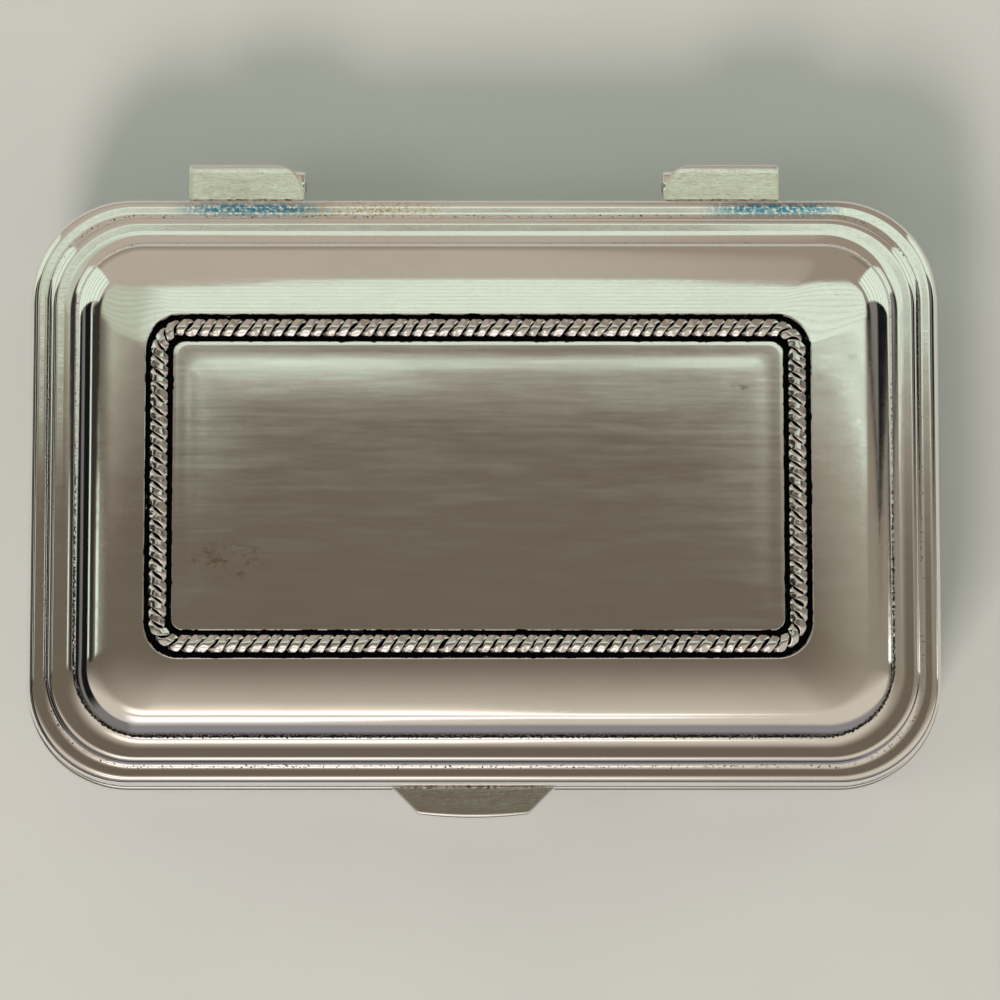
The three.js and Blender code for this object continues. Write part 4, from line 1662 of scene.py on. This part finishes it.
@dataclass
class Tray:
    """The pressed tray with its bezel and velvet."""

    finishes: Finishes
    sheet: float = 0.9
    bead: float = 0.6
    bottom_round: float = 6.0
    corner: float = 10.35
    seat_gap: float = 0.1
    bezel_thickness: float = 0.7
    bezel_round: float = 0.25
    wall_lining: float = 0.9
    lining_start: float = 60.0
    least_corner: float = 0.4
    middle_gap: float = 2.0
    rim_bevel: float = 0.1
    pad_middle_gap: float = 1.5
    pad_wrap: float = 50.0
    pad_crown: float = 0.5
    pad_crown_reach: float = 13.0
    pad_edge: float = 0.9
    pad_edge_steps: int = 9
    pad_start: float = 1.3
    pad_rings: int = 26
    pucker: float = 0.08
    pucker_place: float = 1.6
    pucker_reach: float = 2.2
    pucker_fineness: float = 0.35
    pucker_seed: float = 2.0
    sharp: float = 50.0
    velvet_sharp: float = 60.0

    def __post_init__(self) -> None:
        """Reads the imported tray's box."""
        box = NodeBox.of("base_shell")
        self.half_width, self.half_depth = box.high[0], box.high[1]
        self.height = box.high[2]

    def ring(self, point: Point) -> np.ndarray:
        """The tray's ring at a profile point of inset from the bead and height above the table."""
        inset, height = point
        corner = max(self.corner - inset, self.least_corner)
        return rounded_ring(self.half_width - inset, self.half_depth - inset, corner, 0.0, height)

    def shell(self) -> None:
        """Makes the tray: up the outside, over the rolled rim and down the inside."""
        bend = self.bead + self.bottom_round
        middle = self.half_depth - self.middle_gap
        profile = Profile((middle, 0.0)).line((bend, 0.0))
        profile.arc((bend, self.bottom_round), self.bottom_round, 270, 180)
        profile.line((self.bead, self.height - 2 * self.bead))
        profile.arc((self.bead, self.height - self.bead), self.bead, 270, 90, 6)
        inner = self.bead + self.sheet
        profile.line((inner - self.rim_bevel, self.height)).line((inner, self.height - self.rim_bevel))
        profile.arc((bend, self.bottom_round), self.bottom_round - self.sheet, 180, 270)
        profile.line((middle, self.sheet))
        rings = [self.ring(point) for point in profile.points]
        piece = Sketch().loft(rings, False).make("pressed_tray", self.sharp)
        settle(piece, Body.TRAY, Slot.PLATE, self.finishes.plate, "base_shell")

    def bezel(self) -> None:
        """Makes the band that centres the lid."""
        box = NodeBox.of("locating_bezel")
        outer = self.half_width - box.high[0]
        inner = outer + self.bezel_thickness
        bottom, top, edge = box.low[2], box.high[2], self.bezel_round
        profile = Profile((outer, bottom)).arc((outer + edge, top - edge), edge, 180, 90, 8)
        profile.arc((inner - edge, top - edge), edge, 90, 0, 8).line((inner, bottom))
        rings = [self.ring(point) for point in profile.points]
        piece = Sketch().loft(rings, True).make("bezel_band", self.sharp)
        settle(piece, Body.TRAY, Slot.PLATE, self.finishes.plate, "locating_bezel")

    def floor_pad(self) -> None:
        """Makes the crowned velvet pad on the tray's floor, a little puckered at its edge."""
        box = NodeBox.of("base_floor_pad")
        bend = self.bead + self.bottom_round
        radius = self.bottom_round - self.sheet - self.seat_gap
        top = box.high[2] - self.pad_crown
        edge = bend - radius * math.sin(math.radians(self.pad_wrap))
        last = self.half_depth - self.pad_middle_gap
        profile = Profile((last, box.low[2])).line((bend, box.low[2]))
        profile.arc((bend, self.bottom_round), radius, 270, 270 - self.pad_wrap, 5)
        low = profile.points[-1][1]
        for angle in np.radians(np.linspace(10, 90, self.pad_edge_steps)):
            inset = edge + self.pad_edge * (1 - math.cos(angle))
            profile.points.append((inset, low + (top - low) * math.sin(angle)))
        for inset in np.linspace(edge + self.pad_start, last, self.pad_rings):
            share = min(1.0, (inset - edge - self.pad_edge) / self.pad_crown_reach)
            profile.points.append((float(inset), top + self.pad_crown * math.sin(math.pi / 2 * share)))
        rings = []
        for inset, height in profile.points:
            points = self.ring((inset, height))
            if height > low:
                fade = float(bell(edge + self.pucker_place, self.pucker_reach, inset))
                for point in points:
                    x, y = self.pucker_fineness * point[0], self.pucker_fineness * point[1]
                    wave = noise.noise(Vector((x, y, self.pucker_seed)))
                    point[2] -= self.pucker * fade * (0.5 + 0.5 * wave)
            rings.append(points)
        piece = Sketch().loft(rings, False).make("floor_pad")
        settle(piece, Body.TRAY, Slot.VELVET, self.finishes.velvet, "base_floor_pad")

    def wall_velvet(self) -> None:
        """Makes the velvet band round the tray's wall."""
        box = NodeBox.of("base_wall_lining")
        bend = self.bead + self.bottom_round
        outer = self.bottom_round - self.sheet - self.seat_gap
        inner = outer - self.wall_lining
        top = box.high[2]
        start = 270 - self.lining_start
        edge = self.wall_lining / 2
        angle = math.radians(start)
        foot = (bend + outer * math.cos(angle), self.bottom_round + outer * math.sin(angle))
        profile = Profile(foot)
        profile.arc((bend, self.bottom_round), outer, start, 180, 5).line((bend - outer, top - edge))
        profile.arc((bend - outer + edge, top - edge), edge, 180, 0, 15)
        profile.arc((bend, self.bottom_round), inner, 180, start, 5)
        rings = [self.ring(point) for point in profile.points]
        piece = Sketch().loft(rings, True).make("wall_velvet", self.velvet_sharp)
        settle(piece, Body.TRAY, Slot.VELVET, self.finishes.velvet, "base_wall_lining")

    def build(self) -> None:
        """Makes every piece of the tray."""
        self.shell()
        self.bezel()
        self.floor_pad()
        self.wall_velvet()


@dataclass
class LidLining:
    """The thin velvet panel in the lid."""

    finishes: Finishes
    form: LidForm
    thickness: float = 0.7
    seat_gap: float = 0.1
    middle_gap: float = 1.5
    edge_start: float = 75.0
    edge_steps: int = 6
    sharp: float = 60.0

    def build(self) -> None:
        """Makes the lining."""
        form = self.form
        box = NodeBox.of("lid_lining")
        low = box.low[2] - form.bottom
        edge = form.half_width - box.size[0] / 2
        radius = form.dome_radius - form.sheet - self.seat_gap
        last = form.half_depth - self.middle_gap
        outer = math.degrees(math.acos((edge - form.dome[0]) / radius))
        corner = form.dome[1] + radius * math.sin(math.radians(outer)) - self.thickness / 2
        profile = Profile((last, low)).line((form.groove_inset, low)).line((edge + self.thickness, low))
        for angle in np.radians(np.linspace(self.edge_start, 0, self.edge_steps)):
            inset = edge + self.thickness * (1 - math.cos(angle))
            profile.points.append((inset, low + (corner - low) * (1 - math.sin(angle))))
        profile.arc(form.dome, radius, outer, 90 + form.dome_end, 1.5)
        profile.line((last, profile.points[-1][1]))
        rings = [form.ring(point) for point in profile.points]
        piece = Sketch().loft(rings, False).make("lid_velvet", self.sharp)
        settle(piece, Body.LID, Slot.VELVET, self.finishes.velvet, "lid_lining")


@dataclass(frozen=True)
class RoomColours:
    """The colours of what the bright metal mirrors."""

    ceiling: Colour = (0.146, 0.123, 0.092)
    right_ceiling: Colour = (0.27, 0.242, 0.188)
    glow: Colour = (0.36, 0.33, 0.27)
    cream: Colour = (0.615, 0.565, 0.475)
    lilac: Colour = (0.26, 0.25, 0.265)
    olive: Colour = (0.42, 0.45, 0.33)
    window: Colour = (0.79, 0.905, 0.765)
    back_wall: Colour = (0.468, 0.416, 0.345)
    right_wall: Colour = (0.31, 0.262, 0.206)
    brown: Colour = (0.2, 0.175, 0.14)
    deep: Colour = (0.035, 0.03, 0.027)
    grey: Colour = (0.2, 0.19, 0.18)
    dark: Colour = (0.008, 0.008, 0.009)
    side_lamp: Colour = (2.0, 2.0, 1.9)


class Surroundings:
    """Ways to paint the room that the bright metal mirrors.

    A place overhead is given by how far across and along it lies for its height. A place at the sides is
    given by its height and by its turn: how far back it lies for how far it is to the side.
    """

    LOWEST = 0.02
    NARROWEST = 0.001
    SLAT_EDGE = (0.34, 0.5)
    CORNER_START = 0.14
    CORNER_LEAN = 0.55
    CORNER_SOFT = 0.01

    def __init__(self, nodes: Nodes, colours: RoomColours) -> None:
        """Takes the world's nodes and starts with a plain ceiling.

        Args:
            nodes: The world's nodes.
            colours: The room's colours.
        """
        self.nodes, self.colours = nodes, colours
        self.x, self.y, self.z = nodes.parts(nodes.new("TexCoord").outputs["Generated"])
        up = nodes.math("MAXIMUM", self.z, self.LOWEST)
        beside = nodes.math("MAXIMUM", nodes.math("ABSOLUTE", self.x), self.NARROWEST)
        self.across = nodes.math("DIVIDE", self.x, up)
        self.along = nodes.math("DIVIDE", self.y, up)
        self.turn = nodes.math("DIVIDE", self.y, beside)
        self.corner = nodes.plus(nodes.times(self.z, self.CORNER_LEAN), self.CORNER_START)
        past = nodes.less(self.turn, self.corner)
        self.before_corner = nodes.climb(past, -self.CORNER_SOFT, self.CORNER_SOFT, 1.0, 0.0)
        self.light: object = colours.ceiling

    def band(self, value: object, low: object, high: object, soft: float) -> NodeSocket:
        """1 between two limits of a value, with soft edges."""
        nodes = self.nodes
        rise = nodes.climb(nodes.less(value, low), -soft, soft)
        return nodes.times(rise, nodes.climb(nodes.less(value, high), -soft, soft, 1.0, 0.0))

    def slats(self, value: object, width: float, light: object, share: float) -> NodeSocket:
        """A light with thin darker lines across a value."""
        nodes = self.nodes
        place = nodes.math("FRACT", nodes.math("DIVIDE", value, width))
        line = nodes.climb(nodes.math("ABSOLUTE", nodes.less(place, 0.5)), *self.SLAT_EDGE)
        return nodes.mix(nodes.times(line, share), light, self.colours.ceiling)

    def paint(self, light: object, *masks: object) -> None:
        """Covers what all the masks cover with a light."""
        self.light = self.nodes.mix(self.nodes.times(1.0, *masks), self.light, light)


@dataclass
class Overhead:
    """The ceiling, the slatted window over the back of the box and the wall behind it."""

    right_ceiling: Point = (0.05, 0.4)
    cream: Ramp = (-0.45, 0.08, 1.0, 0.0)
    lilac: Ramp = (-1.7, -1.1, 1.0, 0.0)
    half_width: float = 0.5
    side_soft: float = 0.03
    front: float = 0.1975
    front_soft: float = 0.001
    front_steps: tuple[Ramp, ...] = (
        (0.03, 0.08, 0.0, 0.0277),
        (0.1, 0.5, 0.0, 0.006),
        (-0.07, -0.06, 0.0087, 0.0),
    )
    glow_depth: float = 0.043
    olive_depth: float = 0.002
    olive_left: Ramp = (-0.22, -0.06, 0.65, 0.0)
    slat_width: float = 0.03
    slat_share: float = 0.85
    back: float = 0.545
    back_soft: float = 0.012
    back_steps: tuple[Ramp, ...] = ((0.03, 0.062, 0.0, 0.075), (0.05, 0.25, 0.0, 0.03))
    wall_soft: float = 0.04
    right_wall: Point = (0.0, 0.12)

    def paint(self, around: Surroundings) -> None:
        """Paints the ceiling, the glow before the window, the wall and the window.

        Args:
            around: The surroundings.
        """
        nodes, colours = around.nodes, around.colours
        across, along = around.across, around.along
        around.paint(colours.right_ceiling, nodes.climb(across, *self.right_ceiling))
        around.paint(colours.cream, nodes.climb(along, *self.cream))
        around.paint(colours.lilac, nodes.climb(along, *self.lilac))
        front, back = self.front, self.back
        slanted = nodes.plus(along, *(nodes.climb(across, *step) for step in self.front_steps))
        middle = around.band(across, -self.half_width, self.half_width, self.side_soft)
        around.paint(colours.glow, nodes.climb(slanted, front - self.glow_depth, front), middle)
        aside = nodes.math("ABSOLUTE", across)
        bowed = nodes.plus(along, *(nodes.climb(aside, *step) for step in self.back_steps))
        wall = nodes.mix(nodes.climb(across, *self.right_wall), colours.back_wall, colours.right_wall)
        around.paint(wall, nodes.climb(bowed, back - self.wall_soft, back + self.wall_soft))
        shade = nodes.climb(slanted, front, front + self.olive_depth)
        shade = nodes.mix(shade, colours.olive, colours.window)
        shade = nodes.mix(nodes.climb(across, *self.olive_left), shade, colours.olive)
        shade = around.slats(along, self.slat_width, shade, self.slat_share)
        depth = around.band(bowed, 0.0, back, self.back_soft)
        edge = nodes.climb(slanted, front - self.front_soft, front + self.front_soft)
        around.paint(shade, depth, middle, edge)


@dataclass
class LeftSide:
    """Slits of dark and light high on the left, and the dark screen below them."""

    dark_slits: tuple[Patch, ...] = (((-1.12, -0.8), (0.1, 0.3)), ((-0.95, -0.57), (0.178, 0.4)))
    light_slits: tuple[Patch, ...] = (((-1.36, -1.16), (0.17, 0.6)), ((-0.66, -0.54), (0.13, 0.17)))
    slit_soft: Point = (0.015, 0.004)
    tongue: Point = (-0.088, -0.07)
    tongue_soft: float = 0.004
    tongue_front: Point = (0.145, 0.175)
    tongue_back: Ramp = (0.2, 0.21, 0.8, 0.0)
    screen: Ramp = (-0.35, -0.25, 1.0, 0.0)
    screen_top: Ramp = (0.57, 0.61, 1.0, 0.0)
    screen_dark: Point = (-0.8, -0.4)
    gap: Point = (0.19, 0.34)
    gap_soft: float = 0.03

    def paint(self, around: Surroundings) -> None:
        """Paints the slits, then the tongue of window light beside the panel, then the screen.

        Args:
            around: The surroundings.
        """
        nodes, colours = around.nodes, around.colours
        across, along = around.across, around.along
        for slits, light in ((self.dark_slits, colours.deep), (self.light_slits, colours.window)):
            for sides, ends in slits:
                wide = around.band(across, *sides, self.slit_soft[0])
                around.paint(light, wide, around.band(along, *ends, self.slit_soft[1]))
        tongue = nodes.times(nodes.climb(along, *self.tongue_front), nodes.climb(along, *self.tongue_back))
        around.paint(colours.window, around.band(across, *self.tongue, self.tongue_soft), tongue)
        left = nodes.climb(around.x, *self.screen)
        low = nodes.climb(around.z, *self.screen_top)
        around.paint(colours.grey, left, low, around.before_corner)
        low = nodes.less(low, around.band(around.z, *self.gap, self.gap_soft))
        dark = nodes.climb(around.turn, *self.screen_dark)
        around.paint(colours.dark, left, low, around.before_corner, dark)


@dataclass
class Horizon:
    """The dark skirting low all round, the screen and lamp on the right, and the tall corner windows."""

    right: Point = (0.4, 0.5)
    brown: Ramp = (0.1, 0.32, 1.0, 0.0)
    skirting: Point = (0.06, 0.32)
    skirting_back: Point = (0.3, 0.6)
    right_drop: float = 0.2
    screen_tip: Point = (0.134, 0.574)
    screen_sides: Point = (0.29, 0.54)
    screen_length: float = 0.032
    screen_reach: float = 1.1
    screen_edge: Point = (0.0, 0.08)
    deep_part: Patch = ((0.12, 0.25), (0.5, 0.55))
    grey_part: Patch = ((0.3, 0.45), (0.54, 0.6))
    window_back: float = 1.08
    window_soft: float = 0.012
    window_top: Ramp = (0.76, 0.79, 1.0, 0.0)
    slat_width: float = 0.12
    slat_share: float = 0.6
    lamp_turn: Place = (0.106, 0.12, 0.003)
    lamp_height: Place = (0.04, 0.2, 0.03)

    def paint(self, around: Surroundings) -> None:
        """Paints the skirting, the screen, the corner windows and the lamp.

        Args:
            around: The surroundings.
        """
        nodes, colours = around.nodes, around.colours
        turn, z = around.turn, around.z
        right = nodes.climb(around.x, *self.right)
        around.paint(colours.brown, nodes.climb(z, *self.brown), right)
        skirting = nodes.mix(nodes.climb(around.y, *self.skirting_back), colours.dark, colours.right_wall)
        foot, top = self.skirting
        top = nodes.less(top, nodes.times(right, self.right_drop))
        around.paint(skirting, nodes.climb(z, foot, top, 1.0, 0.0))
        self.paint_screen(around, nodes.times(right, around.before_corner))
        shade = around.slats(z, self.slat_width, colours.window, self.slat_share)
        sides = around.band(turn, around.corner, self.window_back, self.window_soft)
        around.paint(shade, sides, nodes.climb(z, *self.window_top))
        lamp = around.band(turn, *self.lamp_turn)
        around.paint(colours.side_lamp, right, lamp, around.band(z, *self.lamp_height))

    def paint_screen(self, around: Surroundings, right: NodeSocket) -> None:
        """Paints the dark screen, which narrows to a point towards the front.

        Args:
            around: The surroundings.
            right: 1 on the right, as far back as the corner window.
        """
        nodes, colours = around.nodes, around.colours
        apart = nodes.less(around.z, self.screen_tip[1])
        above, below = self.screen_sides
        apart = nodes.math("MAXIMUM", nodes.math("DIVIDE", apart, above), nodes.math("DIVIDE", apart, -below))
        back = nodes.math("DIVIDE", nodes.less(around.y, self.screen_tip[0]), self.screen_length)
        inside = nodes.less(nodes.math("MINIMUM", back, self.screen_reach), apart)
        around.paint(colours.dark, right, nodes.climb(inside, *self.screen_edge))
        for light, (edge, height) in ((colours.deep, self.deep_part), (colours.grey, self.grey_part)):
            around.paint(light, right, nodes.climb(inside, *edge), nodes.climb(around.z, *height))


def hang_lamp(name: str, size: Point, place: Place, watts: float) -> Object:
    """Hangs a rectangular lamp that faces the box.

    Args:
        name: The lamp's name.
        size: Its width and depth in metres.
        place: Where it hangs, in metres.
        watts: Its power.

    Returns:
        The lamp.
    """
    light = bpy.data.lights.new(name, "AREA")
    light.shape = "RECTANGLE"
    light.size, light.size_y = size
    light.energy = watts
    holder = bpy.data.objects.new(name, light)
    holder.location = place
    holder.rotation_euler = Vector(place).to_track_quat("Z", "Y").to_euler()
    bpy.context.scene.collection.objects.link(holder)
    return holder


@dataclass
class FrontStrip:
    """The long soft lamp that the front of the box mirrors, with a seam along it. Sizes are in metres."""

    size: Point = (1.0, 0.95)
    place: Place = (-0.08, -0.77, 1.145)
    peak: float = 0.76
    low_colour: Colour = (0.86, 0.84, 1.0)
    middle_colour: Colour = (1.0, 0.98, 0.95)
    high_colour: Colour = (1.0, 0.8, 0.62)
    seam_colour: Colour = (0.1, 0.05, 0.08)
    middle_from: Point = (0.2, 0.5)
    high_from: Point = (0.75, 0.92)
    seam: float = 0.53
    seam_edge: Ramp = (0.03, 0.12, 1.0, 0.0)
    narrowing: Ramp = (0.53, 0.6, 1.0, 0.42)
    narrow_about: float = 0.55
    lower_edge: Ramp = (0.02, 0.26, 0.0, 1.0)
    upper_edge: Ramp = (0.78, 1.0, 1.0, 0.0)
    left_end: Ramp = (0.0, 0.3, 0.0, 1.0)
    right_end: Ramp = (0.62, 0.68, 1.0, 0.0)

    def hang(self) -> None:
        """Hangs the lamp and shades its face."""
        watts = math.pi * self.size[0] * self.size[1] * self.peak
        holder = hang_lamp("front_strip", self.size, self.place, watts)
        holder.visible_diffuse = False
        holder.data.use_nodes = True
        nodes = Nodes(holder.data.node_tree)
        x, y, _ = nodes.parts(nodes.new("NewGeometry").outputs["Parametric"])
        above = nodes.math("DIVIDE", nodes.less(y, self.narrow_about), nodes.climb(x, *self.narrowing))
        y = nodes.plus(above, self.narrow_about)
        sides = nodes.times(nodes.climb(y, *self.lower_edge), nodes.climb(y, *self.upper_edge))
        ends = nodes.times(nodes.climb(x, *self.left_end), nodes.climb(x, *self.right_end))
        colour = nodes.mix(nodes.climb(y, *self.middle_from), self.low_colour, self.middle_colour)
        colour = nodes.mix(nodes.climb(y, *self.high_from), colour, self.high_colour)
        seam = nodes.math("ABSOLUTE", nodes.less(y, self.seam))
        colour = nodes.mix(nodes.climb(seam, *self.seam_edge), colour, self.seam_colour)
        glow = nodes.fill(nodes.new("Emission"), Color=colour, Strength=nodes.times(sides, ends))
        nodes.fill(nodes.new("OutputLight"), Surface=glow.outputs[0])


@dataclass(frozen=True)
class FillLamp:
    """A lamp that lights the table and that the metal doesn't mirror. Sizes are in metres."""

    name: str
    place: Place
    watts: float
    colour: Colour
    size: Point = (0.35, 0.35)

    def hang(self) -> None:
        """Hangs the lamp."""
        fill = hang_lamp(self.name, self.size, self.place, self.watts)
        fill.visible_glossy = False
        fill.data.color = self.colour


@dataclass
class Studio:
    """The table, the lights and the camera."""

    fills: tuple[FillLamp, ...] = (
        FillLamp("front_fill", (-0.3, -1.0, 0.92), 9.5, (1.0, 0.8, 0.72)),
        FillLamp("left_fill", (-0.8, -0.2, 0.9), 1.3, (1.0, 0.92, 0.82)),
    )
    tilt: float = 8.2
    distance: float = 564.0
    lens: float = 205.0
    sensor: float = 36.0
    aim: Place = (1.6, -0.9, 16.5)
    table_size: float = 3000.0
    table_cells: int = 12

    def table(self, finishes: Finishes) -> None:
        """Makes the table top under the box."""
        half, cells = self.table_size / 2, self.table_cells
        stations = np.linspace(-half, half, cells + 1)
        sketch = Sketch()
        for y in stations:
            sketch.add(np.column_stack([stations, np.full(cells + 1, y), np.zeros(cells + 1)]))
        for row in range(cells):
            for column in range(cells):
                near = row * (cells + 1) + column
                far = near + cells + 1
                sketch.faces.append((near, near + 1, far + 1, far))
        top = sketch.make("table_top")
        if top.data.polygons[0].normal.z < 0:
            top.data.flip_normals()
        top.data.materials.append(finishes.table)

    def world(self) -> None:
        """Lights the world with the room round the box."""
        world = bpy.data.worlds.new("studio")
        bpy.context.scene.world = world
        world.use_nodes = True
        nodes = Nodes(world.node_tree)
        around = Surroundings(nodes, RoomColours())
        for part in (Overhead(), LeftSide(), Horizon()):
            part.paint(around)
        background = nodes.fill(nodes.new("Background"), Color=around.light)
        nodes.fill(nodes.new("OutputWorld"), Surface=background.outputs[0])

    def camera(self) -> None:
        """Sets the camera over the front of the box."""
        data = bpy.data.cameras.new("camera")
        data.lens = self.lens
        data.sensor_width = self.sensor
        holder = bpy.data.objects.new("camera", data)
        tilt = math.radians(self.tilt)
        back = Vector((0, -math.sin(tilt), math.cos(tilt)))
        holder.location = (Vector(self.aim) + self.distance * back) * METRES
        holder.rotation_euler = (tilt, 0, 0)
        bpy.context.scene.collection.objects.link(holder)
        bpy.context.scene.camera = holder

    def build(self, finishes: Finishes) -> None:
        """Makes the whole stage."""
        self.table(finishes)
        self.world()
        for lamp in (FrontStrip(), *self.fills):
            lamp.hang()
        self.camera()
        bpy.context.scene.view_settings.view_transform = "Standard"


def main() -> None:
    """Builds the object over its frame, and the stage round it."""
    logging.basicConfig(level=logging.INFO, format="%(name)s: %(message)s")
    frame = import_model()
    finishes = Finishes()
    Studio().build(finishes)
    form = LidForm()
    LidShell(finishes, form).build()
    RopeFrame(finishes, form).build()
    ThumbTab(finishes).build()
    LidLining(finishes, form).build()
    axis = tuple(value / METRES for value in frame["joints"][0]["pos_m"])
    Hinges(finishes, axis).build()
    Tray(finishes).build()


if __name__ == "__main__":
    main()
